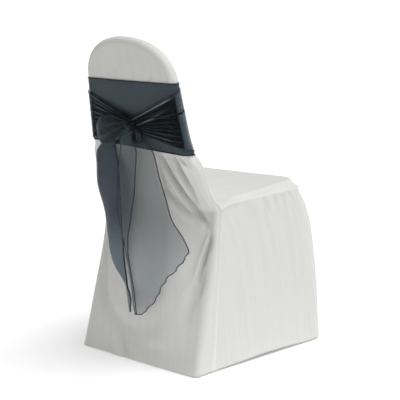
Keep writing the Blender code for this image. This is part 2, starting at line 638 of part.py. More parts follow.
def make_loop():
    """A pocket of two layers, folded at its far end."""
    steps = len(LOOP_ROWS)
    columns, rows = 2 * steps + 1, LOOP_CELLS

    def place(i, j):
        q = j / rows
        k = min(i, columns - i)
        side = 1.0 if i <= columns / 2 else -1.0
        if k < steps:
            row = LOOP_ROWS[k]
            x, off = row.x, side * row.spread
        else:
            row = LOOP_ROWS[-1]
            x, off = row.x + LOOP_TIP, side * LOOP_PINCH * row.spread
        bow = 1.0 - LOOP_CUP * (2.0 * q - 1.0) ** 2
        x -= (LOOP_EDGE * (2.0 * q - 1.0) ** 2 + LOOP_LEAN * q) * k / steps
        height = mix(row.low, row.high, q)
        _, y, _ = hood_point(height, 0.0, SASH_CLEAR + ORGANZA + LOOP_OFF + off * bow)
        return x, y, height
    return grid_piece("loop", columns, rows, place, thickness=ORGANZA)


CURL_RADIUS = 0.0130
CURL_WIDTH = 0.012
CURL_DROP = 0.0275      # its middle below the knot's
CURL_SIDE = -0.018      # and beside it
CURL_CELLS = 16
CURL_LEAN = 0.2         # how far its upper side leans forward


def make_curl():
    """The small end of the second loop, a ring that shows under the knot."""
    bm = bmesh.new()
    bmesh.ops.create_cone(bm, cap_ends=False, segments=CURL_CELLS, radius1=CURL_RADIUS,
                          radius2=CURL_RADIUS, depth=CURL_WIDTH)
    x, y, z = hood_point(KNOT_HEIGHT, 0.0, SASH_CLEAR + KNOT_SIZE[1])
    for vert in bm.verts:
        across, up, along = vert.co
        vert.co = (KNOT_X + CURL_SIDE + across, y + along - CURL_LEAN * up, z + up - CURL_DROP)
    return finish_piece("curl", bm, ORGANZA)


# The tails, one row for each height: the folded edge on the left as seen from behind, the free
# edge that is folded over, the right edge, and how far back the tail hangs.
TailRow = namedtuple("TailRow", "height left lap right depth")
TAIL_LEFT = (
    TailRow(0.680, 0.016, 0.006, 0.002, 0.2620),
    TailRow(0.650, 0.076, 0.040, 0.032, 0.2535),
    TailRow(0.620, 0.137, 0.093, 0.086, 0.2475),
    TailRow(0.580, 0.152, 0.087, 0.078, 0.2480),
    TailRow(0.520, 0.156, 0.079, 0.069, 0.2480),
    TailRow(0.420, 0.132, 0.072, 0.064, 0.2480),
    TailRow(0.318, 0.107, 0.067, 0.060, 0.2475),
    TailRow(0.270, 0.087, 0.062, 0.056, 0.2475),
    TailRow(0.236, 0.067, 0.056, 0.051, 0.2470),
    TailRow(0.203, 0.050, 0.044, 0.041, 0.2470),
    TailRow(0.145, 0.035, 0.030, 0.027, 0.2470),
)
TAIL_RIGHT = (
    TailRow(0.682, 0.004, -0.008, -0.018, 0.2700),
    TailRow(0.650, 0.032, -0.014, -0.046, 0.2640),
    TailRow(0.612, 0.045, -0.023, -0.082, 0.2600),
    TailRow(0.551, 0.052, -0.017, -0.102, 0.2590),
    TailRow(0.493, 0.057, -0.009, -0.125, 0.2585),
    TailRow(0.444, 0.057, 0.003, -0.145, 0.2580),
    TailRow(0.402, 0.052, 0.010, -0.179, 0.2575),
    TailRow(0.357, 0.040, 0.018, -0.208, 0.2570),
    TailRow(0.317, 0.030, 0.018, -0.178, 0.2565),
    TailRow(0.267, 0.014, 0.006, -0.127, 0.2560),
    TailRow(0.208, 0.002, -0.006, -0.088, 0.2555),
    TailRow(0.175, -0.001, -0.009, -0.060, 0.2550),
    TailRow(0.144, -0.006, -0.012, -0.024, 0.2545),
)
LAP_COLUMNS, FOLD_COLUMNS, FLAT_COLUMNS = 3, 2, 5
LAP_SPREAD = 0.0060     # how far apart the two layers of a folded tail are
LAP_LEAST = 0.0010      # the least that a tail is folded over
RIPPLE = 0.003          # how far a tail waves, across and up
RIPPLE_ACROSS, RIPPLE_UP = 60.0, 9.0
RIPPLE_START, RIPPLE_OVER = 0.60, 0.20           # height under which it waves, and over which that starts


def make_tail(name, table):
    """A tail: one length of the strip with its left edge folded over to the outside."""
    columns = LAP_COLUMNS + FOLD_COLUMNS + FLAT_COLUMNS

    def place(i, j):
        row = table[len(table) - 1 - j]
        radius = min(LAP_SPREAD / 2, (row.left - row.right) / 4)
        fold_x = row.left - radius
        if i < LAP_COLUMNS:
            x, off = mix(min(row.lap, fold_x - LAP_LEAST), fold_x, i / LAP_COLUMNS), 2 * radius
        elif i <= LAP_COLUMNS + FOLD_COLUMNS:
            turn = (i - LAP_COLUMNS) / FOLD_COLUMNS * math.pi
            x, off = fold_x + radius * math.sin(turn), radius * (1 + math.cos(turn))
        else:
            x, off = mix(fold_x, row.right, (i - LAP_COLUMNS - FOLD_COLUMNS) / FLAT_COLUMNS), 0.0
        wave = math.sin(RIPPLE_ACROSS * x + RIPPLE_UP * row.height)
        calm = smooth((RIPPLE_START - row.height) / RIPPLE_OVER)
        return x, row.depth + off + RIPPLE * wave * calm, row.height
    return grid_piece(name, columns, len(table) - 1, place, thickness=ORGANZA)


def make_sash():
    """The tied sash: its band, joined with all that is tied from it into one solid."""
    sash = make_band()
    others = [make_run(run) for run in RUNS]
    others += [make_tail("tail_left", TAIL_LEFT), make_tail("tail_right", TAIL_RIGHT)]
    others += [make_knot(), make_loop(), make_curl()]
    for other in others:
        other.hide_render = True
        other.display_type = "WIRE"
        union = sash.modifiers.new("join_" + other.name, "BOOLEAN")
        union.operation = "UNION"
        union.object = other
    return sash


for leftover in list(bpy.data.objects):
    bpy.data.objects.remove(leftover, do_unlink=True)
for make in (make_outer_back, make_inner_back, make_seat_panel, make_skirt):
    dress(make(), "woven polyester", POLYESTER, 0.75)
dress(make_sash(), "organza", ORGANZA_GREY, 0.50)
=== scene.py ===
# %% [markdown]
# # A chair cover with an organza sash
#
# The real object is a fitted cover for a stacking banquet chair. It is sewn from woven polyester:
# a back panel from the crown to the floor, an inner back, a seat panel, and a skirt round the
# sides and the front. A sash of sheer organza with merrowed edges is tied behind its back.
# Everything here is cloth, so each piece is a grid that is laid in place point by point, and then
# given its thickness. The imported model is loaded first, because every piece has to sit on it.

import math
from collections import namedtuple
from functools import lru_cache

import bmesh
import bpy
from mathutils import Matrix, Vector, noise


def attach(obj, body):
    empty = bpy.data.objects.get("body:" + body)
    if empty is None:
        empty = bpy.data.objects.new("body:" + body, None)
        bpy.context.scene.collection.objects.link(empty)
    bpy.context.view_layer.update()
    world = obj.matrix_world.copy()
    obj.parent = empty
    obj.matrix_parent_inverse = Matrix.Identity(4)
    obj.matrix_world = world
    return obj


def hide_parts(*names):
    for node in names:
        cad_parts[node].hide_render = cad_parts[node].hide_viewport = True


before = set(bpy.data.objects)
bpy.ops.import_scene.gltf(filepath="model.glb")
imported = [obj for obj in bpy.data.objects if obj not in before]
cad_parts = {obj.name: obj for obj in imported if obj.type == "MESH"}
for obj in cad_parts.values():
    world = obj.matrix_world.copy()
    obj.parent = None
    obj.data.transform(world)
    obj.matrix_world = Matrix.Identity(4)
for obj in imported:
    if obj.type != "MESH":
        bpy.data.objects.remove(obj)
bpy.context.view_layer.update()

# %% [markdown]
# ## Small tools
#
# Cloth has soft changes, so most values are blended with a smooth step. A table of measured rows is
# read with a curve that runs through every row and never swings past one, which a plain cubic
# spline would do where the cloth turns quickly.

# %% Blending and reading tables
SEAT_ORIGIN = 0.487     # height of the frame's origin above the floor


def smooth(x):
    """0 below 0, 1 above 1 and a soft step between."""
    x = min(max(x, 0.0), 1.0)
    return x * x * (3.0 - 2.0 * x)


def mix(a, b, t):
    return a + (b - a) * t


def hill(off, half_width):
    """1 at its middle, and falling softly on both sides to almost 0 at two half widths."""
    return math.exp(-((off / half_width) ** 2))


def spread(start, end, count):
    """Evenly spaced values, both ends included."""
    return [mix(start, end, k / count) for k in range(count + 1)]


class Curve:
    """A smooth curve through points, that never overshoots one."""

    def __init__(self, xs, ys):
        self.xs, self.ys = xs, ys
        self.slopes = [(b - a) / (d - c) for a, b, c, d in zip(ys, ys[1:], xs, xs[1:])]

    def tangent(self, k):
        if k in (0, len(self.xs) - 1):
            return self.slopes[min(k, len(self.slopes) - 1)]
        before, after = self.slopes[k - 1], self.slopes[k]
        return 0.0 if before * after <= 0 else 2 * before * after / (before + after)

    def __call__(self, x):
        if x <= self.xs[0]:
            return self.ys[0]
        if x >= self.xs[-1]:
            return self.ys[-1]
        k = max(i for i, at in enumerate(self.xs) if at <= x)
        step = self.xs[k + 1] - self.xs[k]
        t = (x - self.xs[k]) / step
        start, end = self.tangent(k) * step, self.tangent(k + 1) * step
        return ((2 * t**3 - 3 * t**2 + 1) * self.ys[k] + (t**3 - 2 * t**2 + t) * start
                + (3 * t**2 - 2 * t**3) * self.ys[k + 1] + (t**3 - t**2) * end)


def curves(rows):
    """One curve for each column of a table, over the table's first column."""
    rows = sorted(rows)
    heights = [row[0] for row in rows]
    return {name: Curve(heights, [getattr(row, name) for row in rows]) for name in rows[0]._fields}


def drift(x, y, z, size, seed):
    """Slow random drift between -1 and 1 that is the same each run. Its hills are size metres wide."""
    return noise.noise(Vector((x / size + seed, y / size, z / size)))


Wander = namedtuple("Wander", "rise size seed")
Ripple = namedtuple("Ripple", "rise across up start")


def wander_at(wanders, x, y, z):
    """How far cloth strays at a place. Each wander has its rise, the size of its hills and a seed."""
    return sum(wander.rise * drift(x, y, z, wander.size, wander.seed) for wander in wanders)


def ripple_at(ripples, x, height):
    """Even waves that run across and up a sheet."""
    return sum(ripple.rise * math.sin(ripple.across * x + ripple.up * height + ripple.start)
               for ripple in ripples)


print("blending tools are ready")

# %% [markdown]
# ## Laying a sheet of cloth
#
# A sheet starts as a flat grid of faces from bmesh. Each of its points is then moved to where the
# cloth hangs. The distances between the points give it a UV map in metres, so that a weave keeps
# its size. The thickness comes last, from a Solidify modifier that grows inwards and closes the edge.

# %% A function that lays a sheet
MERGE = 0.00002         # points closer than this are one point
COVER_THICKNESS = 0.0012
ORGANZA_THICKNESS = 0.0004


def to_frame(point):
    """From heights above the floor to the frame."""
    return Vector((point[0], point[1], point[2] - SEAT_ORIGIN))


def lay_cloth(name, columns, rows, place, keep=None, flip=False, shine=None, shade=None, finish=None):
    """A sheet as a mesh, with the places of its grid points, as (column, row): point.

    shine and shade give how much lighter or darker a grid point is, and finish a cell's material.
    """
    spots = {(i, j): to_frame(place(i, j)) for i in range(columns + 1) for j in range(rows + 1)}
    middle = columns // 2
    across, up = {}, {}
    for j in range(rows + 1):
        run = [0.0]
        for i in range(columns):
            run.append(run[-1] + (spots[i + 1, j] - spots[i, j]).length)
        across.update({(i, j): run[i] - run[middle] for i in range(columns + 1)})
        up[j] = 0.0 if j == 0 else up[j - 1] + (spots[middle, j] - spots[middle, j - 1]).length
    bm = bmesh.new()
    cut = bm.loops.layers.uv.new("cut")
    tones = [(bm.verts.layers.float.new(title), tone) for title, tone in (("shine", shine), ("shade", shade))]
    bmesh.ops.create_grid(bm, x_segments=columns, y_segments=rows, size=0.5)
    cells = {vert: (round((vert.co.x + 0.5) * columns), round((vert.co.y + 0.5) * rows)) for vert in bm.verts}
    for face in bm.faces:
        face.smooth = True
        for loop in face.loops:
            cell = cells[loop.vert]
            loop[cut].uv = (across[cell], up[cell[1]])
        if finish:
            face.material_index = finish(*(min(cells[v][k] for v in face.verts) for k in (0, 1)))
    for layer, tone in tones:
        if tone:
            for vert in bm.verts:
                vert[layer] = tone(*cells[vert])
    if keep:
        spare = [face for face in bm.faces
                 if not keep(*(sum(cells[v][k] for v in face.verts) / len(face.verts) for k in (0, 1)))]
        bmesh.ops.delete(bm, geom=spare, context="FACES")
    for vert in bm.verts:
        vert.co = spots[cells[vert]]
    bmesh.ops.remove_doubles(bm, verts=bm.verts, dist=MERGE)
    if flip:
        bmesh.ops.reverse_faces(bm, faces=bm.faces)
    area = sum(face.calc_area() for face in bm.faces)
    mesh = bpy.data.meshes.new(name)
    bm.to_mesh(mesh)
    bm.free()
    print(f"{name}: {len(mesh.polygons)} faces, {area:.3f} square metres")
    return mesh, spots


def make_piece(name, meshes, thickness=0.0, materials=()):
    """Joins meshes into one object at the origin, and gives a sheet its thickness."""
    bm = bmesh.new()
    for mesh in meshes:
        bm.from_mesh(mesh)
    joined = bpy.data.meshes.new(name)
    bm.to_mesh(joined)
    bm.free()
    for mesh in meshes:
        bpy.data.meshes.remove(mesh)
    piece = bpy.data.objects.new(name, joined)
    bpy.context.scene.collection.objects.link(piece)
    for material in materials:
        joined.materials.append(material)
    if thickness:
        wall = piece.modifiers.new("thickness", "SOLIDIFY")
        wall.thickness = thickness
        wall.offset = -1.0
        wall.use_quality_normals = True
    return piece


print("sheets are laid in metres, with the origin under the seat")

# %% [markdown]
# ## Materials
#
# A material is named for the real finish. Its colour is given as the hex value that a picture
# editor shows, which is sRGB, so one function turns it into the linear values that shaders use.
# One more function adds a node with its settings and links.

# %% Colours and nodes
WAVE_LENGTH = math.pi / 10      # a wave texture of scale 1 repeats after this much


def linear(code):
    """A hex sRGB colour as linear red, green, blue and alpha."""
    parts = [int(code[k:k + 2], 16) / 255 for k in (1, 3, 5)]
    return (*(c / 12.92 if c <= 0.04045 else ((c + 0.055) / 1.055) ** 2.4 for c in parts), 1.0)


def add_node(material, kind, values=None, links=None, **settings):
    """Adds a node, sets its properties and sockets, and links outputs of other nodes to it."""
    node = material.node_tree.nodes.new(kind)
    for name, value in settings.items():
        setattr(node, name, value)
    for name, value in (values or {}).items():
        node.inputs[name].default_value = value
    for name, output in (links or {}).items():
        material.node_tree.links.new(output, node.inputs[name])
    return node


def new_material(name, **values):
    """A material with a Principled shader, whose sockets are set by name."""
    material = bpy.data.materials.new(name)
    material.use_nodes = True
    shader = material.node_tree.nodes["Principled BSDF"]
    for socket, value in values.items():
        shader.inputs[socket.replace("_", " ")].default_value = value
    return material, shader


def add_weave(material, shader, spacing, strength, crumple=0.0):
    """Crossing threads on the cut's own UV map, spacing metres apart, with soft crumples under them."""
    place = add_node(material, "ShaderNodeUVMap", uv_map="cut").outputs["UV"]
    threads = []
    for direction in ("X", "Y"):
        wave = add_node(material, "ShaderNodeTexWave",
                        {"Scale": WAVE_LENGTH / spacing, "Distortion": 0.6, "Detail": 1.0},
                        {"Vector": place}, wave_type="BANDS", bands_direction=direction, wave_profile="SIN")
        threads.append(wave.outputs["Fac"])
    weave = add_node(material, "ShaderNodeMath", links={0: threads[0], 1: threads[1]}, operation="MULTIPLY")
    bump = add_node(material, "ShaderNodeBump", {"Strength": strength, "Distance": 0.0002},
                    {"Height": weave.outputs[0]})
    if crumple:
        spot = add_node(material, "ShaderNodeTexCoord").outputs["Object"]
        soft = add_node(material, "ShaderNodeTexNoise", {"Scale": 26.0, "Detail": 3.0, "Roughness": 0.45},
                        {"Vector": spot})
        bump = add_node(material, "ShaderNodeBump", {"Strength": 0.8, "Distance": crumple},
                        {"Height": soft.outputs["Fac"], "Normal": bump.outputs["Normal"]})
    material.node_tree.links.new(bump.outputs["Normal"], shader.inputs["Normal"])
    return place


def add_tone(material, attribute, colour, code):
    """Mixes another colour in where one of the sheet's attributes says so. The Mix node has sockets
    of the same name for numbers and for colours, so its colour sockets are called by their place."""
    share = add_node(material, "ShaderNodeAttribute", attribute_name=attribute).outputs["Fac"]
    both = add_node(material, "ShaderNodeMix", {7: linear(code)}, {0: share, 6: colour}, data_type="RGBA")
    return both.outputs[2]


def paint(material, shader, colour):
    material.node_tree.links.new(colour, shader.inputs["Base Color"])


print("hex white is", linear("#FFFFFF"))

# %% [markdown]
# The cover is plain-woven spun polyester. It is matt with a faint sheen, off-white, and shows long
# faint streaks where the yarn is a little thicker. Its yarns are about 0.4 mm apart, too fine to
# show here, so the weave is drawn at 1.5 mm. Its colour is painted darker in creases and on the
# hood's face as painted shade, and lighter along its seams as a painted highlight.

# %% Woven polyester
WEAVE_SPACING = 0.0015
polyester, polyester_shader = new_material("woven polyester", Roughness=0.78, Sheen_Weight=0.12,
                                           Sheen_Roughness=0.5)
cut_map = add_weave(polyester, polyester_shader, WEAVE_SPACING, 0.25, crumple=0.0011)
streak_place = add_node(polyester, "ShaderNodeMapping", {"Scale": (55.0, 2.5, 1.0)}, {"Vector": cut_map})
streaks = add_node(polyester, "ShaderNodeTexNoise", {"Scale": 1.0, "Detail": 2.0, "Roughness": 0.5},
                   {"Vector": streak_place.outputs["Vector"]})
cloth_colour = add_node(polyester, "ShaderNodeValToRGB", links={"Fac": streaks.outputs["Fac"]})
cloth_colour.color_ramp.elements[0].position = 0.30
cloth_colour.color_ramp.elements[0].color = linear("#DFDFDB")
cloth_colour.color_ramp.elements[1].position = 0.70
cloth_colour.color_ramp.elements[1].color = linear("#E4E4E0")
# painted shade: the shade attribute darkens the creases and the hood's face; painted highlight: the shine
# attribute lightens the seams
shaded = add_tone(polyester, "shade", cloth_colour.outputs["Color"], "#84837F")
paint(polyester, polyester_shader, add_tone(polyester, "shine", shaded, "#FFFFFA"))
print("made", polyester.name)

# %% [markdown]
# Organza is a thin plain weave of fine twisted yarn. Light goes between its threads, so one layer
# only greys what is behind it, and each layer more makes it darker. A sheet here has two surfaces,
# so each lets most of the light through. Where the strip is gathered, more threads cross, and the
# material there is denser; its colour is also darker, as painted shade between the pleats. Its edge
# is merrowed: a machine wraps it in close, dark thread.

# %% Organza and its merrowed edge
organza, organza_shader = new_material("dark grey organza", Roughness=0.42, Alpha=0.24,
                                       Specular_IOR_Level=0.25, Sheen_Weight=0.05)
# the gathered organza's darker colour is painted shade between its pleats; its higher alpha is its real
# density
dense_shaded_organza, dense_shaded_shader = new_material("gathered dark grey organza with painted shade", Roughness=0.45, Alpha=0.54,
                                           Specular_IOR_Level=0.03)
folded_organza, folded_shader = new_material("folded dark grey organza", Roughness=0.40, Alpha=0.42,
                                             Specular_IOR_Level=0.20)
knot_organza, knot_shader = new_material("knotted dark grey organza", Roughness=0.38, Alpha=0.90,
                                         Specular_IOR_Level=0.15)
# painted highlights: the shine attribute paints the folds and crests that catch the light lighter; it also
# makes the tails lighter lower down
for material, shader, dark, light in ((organza, organza_shader, "#273C47", "#314C58"),
                                      (dense_shaded_organza, dense_shaded_shader, "#0D1113", "#14191B"),
                                      (folded_organza, folded_shader, "#46505C", "#515D69"),
                                      (knot_organza, knot_shader, "#0C0E12", "#14171D")):
    cut_map = add_weave(material, shader, WEAVE_SPACING, 0.3)
    yarn_place = add_node(material, "ShaderNodeMapping", {"Scale": (5.0, 90.0, 1.0)}, {"Vector": cut_map})
    yarn = add_node(material, "ShaderNodeTexNoise", {"Scale": 1.0, "Detail": 2.0},
                    {"Vector": yarn_place.outputs["Vector"]})
    tone = add_node(material, "ShaderNodeValToRGB", links={"Fac": yarn.outputs["Fac"]})
    tone.color_ramp.elements[0].position, tone.color_ramp.elements[0].color = 0.35, linear(dark)
    tone.color_ramp.elements[1].position, tone.color_ramp.elements[1].color = 0.65, linear(light)
    paint(material, shader, add_tone(material, "shine", tone.outputs["Color"], "#8D9BA5"))
    print("made", material.name)

merrow_thread, merrow_shader = new_material("merrowed edge thread", Roughness=0.65)
thread_spot = add_node(merrow_thread, "ShaderNodeTexCoord").outputs["Object"]
twist = add_node(merrow_thread, "ShaderNodeTexNoise", {"Scale": 700.0, "Detail": 1.0},
                 {"Vector": thread_spot})
thread_tone = add_node(merrow_thread, "ShaderNodeValToRGB", links={"Fac": twist.outputs["Fac"]})
thread_tone.color_ramp.elements[0].color = linear("#0D1016")
thread_tone.color_ramp.elements[1].color = linear("#1A1E27")
paint(merrow_thread, merrow_shader, thread_tone.outputs["Color"])
thread_bump = add_node(merrow_thread, "ShaderNodeBump", {"Strength": 0.5, "Distance": 0.0003},
                       {"Height": twist.outputs["Fac"]})
merrow_thread.node_tree.links.new(thread_bump.outputs["Normal"], merrow_shader.inputs["Normal"])
print("made", merrow_thread.name)

# %% [markdown]
# ## The shape of the cover
#
# The back panel is given by a table with one row for each height: half its width, how far back its
# edge and its middle are, the radius it turns with, and where its side seam lies. Over the shoulder
# it follows a crown that is a little squarer than an ellipse. The same numbers shape the CAD.

# %% The table of the back
HOOD_TOP = 0.9250
SHOULDER = 0.8000       # height at which the crown's curve starts
HOOD_START = 0.6200     # above this the side band turns straight round the hood
CROWN_POWER = 2.2
RECLINE = 0.1900        # how far the back leans, metres back for a metre up
SEAM_GAP = 0.0004
BAND_REACH, BAND_TAPER, TAPER_START, TAPER_OVER = 0.0320, 0.0060, 0.6100, 0.0600
ARCH_SPAN = math.radians(46.0)
BEND_START, BEND_POWER = 0.60, 1.5
FACE_FLAT = 0.42        # the share of half the width over which the rear is flat

BackRow = namedtuple("BackRow", "height half_width edge middle radius seam_x seam_y")
BACK = curves((
    BackRow(0.000, 0.2257, 0.2450, 0.2450, 0.012, 0.2260, 0.1680),
    BackRow(0.100, 0.2237, 0.2215, 0.2370, 0.018, 0.2240, 0.1600),
    BackRow(0.200, 0.2212, 0.1975, 0.2290, 0.020, 0.2215, 0.1515),
    BackRow(0.310, 0.2182, 0.1700, 0.2200, 0.018, 0.2185, 0.1430),
    BackRow(0.400, 0.2162, 0.1545, 0.2130, 0.015, 0.2165, 0.1355),
    BackRow(0.445, 0.2158, 0.1480, 0.2100, 0.014, 0.2160, 0.1315),
    BackRow(0.475, 0.2060, 0.1680, 0.2120, 0.014, 0.2070, 0.1490),
    BackRow(0.510, 0.2030, 0.1880, 0.2180, 0.015, 0.2035, 0.1670),
    BackRow(0.550, 0.2030, 0.2080, 0.2255, 0.016, 0.2050, 0.1820),
    BackRow(0.580, 0.1960, 0.2220, 0.2313, 0.016, 0.1975, 0.1920),
    BackRow(0.610, 0.1815, 0.2340, 0.2370, 0.016, 0.1800, 0.2030),
    BackRow(0.650, 0.1770, 0.2425, 0.2446, 0.016, 0.1770, 0.2105),
    BackRow(0.800, 0.1640, 0.2715, 0.2731, 0.016, 0.1640, 0.2355),
))


@lru_cache(maxsize=None)
def back_at(column, height):
    """The table, carried on up the hood along the back's lean."""
    value = BACK[column](height)
    if column in ("edge", "middle", "seam_y"):
        value += RECLINE * max(height - SHOULDER, 0.0)
    return value


def crown_point(angle, inset=0.0):
    """A point of the crown's outline, at an angle from +X, as x, height and its outward turn."""
    reach = (back_at("half_width", SHOULDER), HOOD_TOP - SHOULDER)
    c, s = math.cos(angle), math.sin(angle)
    x = reach[0] * math.copysign(abs(c) ** (2 / CROWN_POWER), c)
    z = SHOULDER + reach[1] * abs(s) ** (2 / CROWN_POWER)
    nx = math.copysign(abs(c) ** (2 - 2 / CROWN_POWER), c) / reach[0]
    nz = abs(s) ** (2 - 2 / CROWN_POWER) / reach[1]
    long = math.hypot(nx, nz)
    return x - inset * nx / long, z - inset * nz / long, nx / long, nz / long


def band_taper(height):
    """How far the side band's front edge is set in, which grows from the hood's foot."""
    return BAND_TAPER * smooth((height - TAPER_START) / TAPER_OVER)


print("the hood is", round(2 * back_at("half_width", SHOULDER), 3), "m wide at its shoulder")

# %% [markdown]
# ## Creases of the back
#
# Under the sash the cloth is pulled from the narrow hood to the wide seat, so soft creases fan out
# to the seat's corners, and larger folds hang below. Each crease is a bent line on the panel. Its
# section is a trough with a low ridge beside it, because cloth that dips in one place stands up
# next to it. They are given one by one, since a simulation would put the creases elsewhere. Little light
# gets down between a crease's walls, so the cloth there is also given a slightly darker tone.

# %% The creases of the back
Crease = namedtuple("Crease", "line half_width depth ridge")
REAR_CREASES = (
    Crease(((-0.128, 0.635), (-0.134, 0.604), (-0.144, 0.566), (-0.152, 0.542), (-0.160, 0.510),
            (-0.163, 0.475)), 0.0068, 0.0100, 0.7),
    Crease(((-0.070, 0.630), (-0.090, 0.596), (-0.106, 0.566), (-0.120, 0.532), (-0.140, 0.490),
            (-0.158, 0.450), (-0.185, 0.410)), 0.0070, 0.0105, 0.7),
    Crease(((-0.068, 0.590), (-0.074, 0.556), (-0.084, 0.508), (-0.110, 0.478), (-0.136, 0.450),
            (-0.170, 0.426)), 0.0085, 0.0080, 0.6),
    Crease(((-0.140, 0.625), (-0.156, 0.604), (-0.164, 0.592), (-0.176, 0.582)), 0.0045, 0.0050, 0.5),
    Crease(((-0.100, 0.640), (-0.112, 0.604), (-0.122, 0.575), (-0.134, 0.545)), 0.0045, 0.0040, 0.5),
    Crease(((-0.222, 0.450), (-0.211, 0.400), (-0.204, 0.378), (-0.192, 0.330), (-0.184, 0.295),
            (-0.178, 0.255)), 0.0068, 0.0120, 0.3),
    Crease(((-0.222, 0.345), (-0.208, 0.275), (-0.188, 0.242), (-0.174, 0.214), (-0.160, 0.150)),
           0.0165, 0.0130, 0.3),
    Crease(((0.080, 0.056), (-0.040, 0.044), (-0.110, 0.042), (-0.190, 0.046)), 0.0180, 0.0050, 0.4),
    Crease(((0.150, 0.580), (0.165, 0.520), (0.198, 0.445)), 0.0090, 0.0090, 0.6),
    Crease(((0.110, 0.560), (0.132, 0.500), (0.170, 0.440)), 0.0110, 0.0070, 0.5),
    Crease(((0.204, 0.420), (0.200, 0.320), (0.190, 0.235), (0.160, 0.175), (0.090, 0.100), (0.010, 0.080),
            (-0.080, 0.130)), 0.0260, 0.0075, 0.4),
    Crease(((0.090, 0.120), (0.066, 0.040), (0.036, 0.000)), 0.0140, 0.0070, 0.6),
    Crease(((0.042, 0.806), (0.040, 0.836)), 0.0045, 0.0022, 0.4),
    Crease(((-0.026, 0.804), (-0.024, 0.838)), 0.0050, 0.0022, 0.4),
    Crease(((-0.087, 0.803), (-0.089, 0.834)), 0.0045, 0.0024, 0.4),
)
CREASE_SHADE = 0.26     # how dark a crease is that is as deep as its half width
STEEPEST = 2.2          # the most that the square of depth over half width counts for
CREASE_REACH = 3.5      # how many half widths away a crease is still felt
RIDGE_OFF = 1.7         # how many half widths the ridge is beside the trough
CREASE_ENDS = 0.10      # how far a crease has faded at its ends, as a part of half a wave


def near_line(line, x, height):
    """How far a point is from a bent line, on which side (+ or -), and how far along from 0 to 1."""
    best = (math.inf, 1.0, 0.0)
    for k, ((ax, az), (bx, bz)) in enumerate(zip(line, line[1:])):
        dx, dz = bx - ax, bz - az
        t = min(max(((x - ax) * dx + (height - az) * dz) / (dx * dx + dz * dz), 0.0), 1.0)
        away = math.hypot(x - ax - t * dx, height - az - t * dz)
        side = dx * (height - az) - dz * (x - ax)
        best = min(best, (away, math.copysign(1.0, side), (k + t) / (len(line) - 1)))
    return best


@lru_cache(maxsize=None)
def creases_at(x, height):
    """How far the creases push the back's cloth out at a point, and how much they shade it."""
    push = shade = 0.0
    for crease in REAR_CREASES:
        away, side, along = near_line(crease.line, x, height)
        u = away / crease.half_width
        if u < CREASE_REACH:
            fade = math.sin(math.pi * mix(CREASE_ENDS, 1.0 - CREASE_ENDS, along))
            push -= crease.depth * fade * hill(u, 1.0)
            push += crease.depth * crease.ridge * fade * hill(side * u - RIDGE_OFF, 1.0)
            steep = min((crease.depth / crease.half_width) ** 2, STEEPEST)
            shade += CREASE_SHADE * steep * fade * hill(u, 1.0)
    return push, min(shade, 1.0)


print(len(REAR_CREASES), "creases on the back")

# %% [markdown]
# ## The back panel
#
# It runs from the rear hem to the crown. Its rows are close together where the creases are. At its
# edge it turns forward round a small radius and ends at the seam, where the turned allowances of the
# two panels make a low ridge that catches the light, with a painted highlight along it. A hem is
# turned up twice, so it is a little thicker than the cloth.

# %% The back panel
CREASED_TO = -0.30      # the columns are closer on this side of it, where the creases are
FACE_WAYS = spread(-1.0, CREASED_TO, 84) + spread(CREASED_TO, 1.0, 66)[1:]
FACE_COLUMNS = len(FACE_WAYS) - 1
BAND_STEPS = 12
SIDE_HEIGHTS = (spread(0.0035, 0.0235, 5) + spread(0.030, 0.200, 21) + spread(0.204, 0.400, 48)
                + spread(0.4025, 0.620, 84) + spread(0.628, 0.790, 20))
CROWN_STEPS = 14
BACK_ROWS = len(SIDE_HEIGHTS) + CROWN_STEPS
CREASE_CALM, CREASE_CALM_START = 0.90, 0.93     # how far creases die out beside the seam, and from where
CALM_LOW, CALM_HIGH, CALM_OVER = 0.597, 0.814, 0.014        # the sash holds the cloth flat between these
REAR_WANDERS = Wander(0.0014, 0.075, 3.0), Wander(0.0008, 0.030, 8.0)
SLOPE_STEP = 0.002
SHADE_TURN = 0.35       # how far over its turned edge a crease still shades the panel
HOOD_SHADE = 0.17       # painted shade on the hood's face, which leans back so that less light falls on it
HOOD_SHADE_START, HOOD_SHADE_RISE = 0.74, 0.06
SEAM_CLOSER = 1.8       # how much closer together points are towards the seam
SEAM_RIDGE, SEAM_RIDGE_AT, SEAM_RIDGE_WIDE = 0.0016, 0.0010, 0.0030
SEAM_SHINE, SEAM_SHINE_START, SEAM_SHINE_OVER = 0.4, 0.80, 0.12      # painted highlight along the ridge of the seam's allowances
HEM_RIDGE, HEM_HEIGHT, HEM_STEP = 0.0005, 0.018, 0.003


def outline_side(row):
    """The side of the panel's outline at a row, with its outward turn."""
    if row < len(SIDE_HEIGHTS):
        height = SIDE_HEIGHTS[row]
        above, below = (back_at("half_width", height + step) for step in (SLOPE_STEP, -SLOPE_STEP))
        slope = (above - below) / (2 * SLOPE_STEP)
        long = math.hypot(1.0, slope)
        return back_at("half_width", height), height, 1 / long, -slope / long
    return crown_point((row - len(SIDE_HEIGHTS)) / CROWN_STEPS * (math.pi / 2 - ARCH_SPAN))


def face_spot(a, row, inset):
    """Where a point of the face lies, as x and height: straight rows that bend up to the crown."""
    x, z, nx, nz = outline_side(row)
    end_x, end_z, end_nx, end_nz = outline_side(BACK_ROWS)
    if row < len(SIDE_HEIGHTS):
        x -= inset
    else:
        x, z = x - inset * nx, z - inset * nz
    end_x, end_z = end_x - inset * end_nx, end_z - inset * end_nz
    top_x, top_z, _, _ = crown_point(math.pi / 2 - a * ARCH_SPAN, inset)
    pull = smooth((z - BEND_START) / (end_z - BEND_START)) ** BEND_POWER if row < BACK_ROWS else 1.0
    return a * x + (top_x - a * end_x) * pull, z + (top_z - end_z) * pull


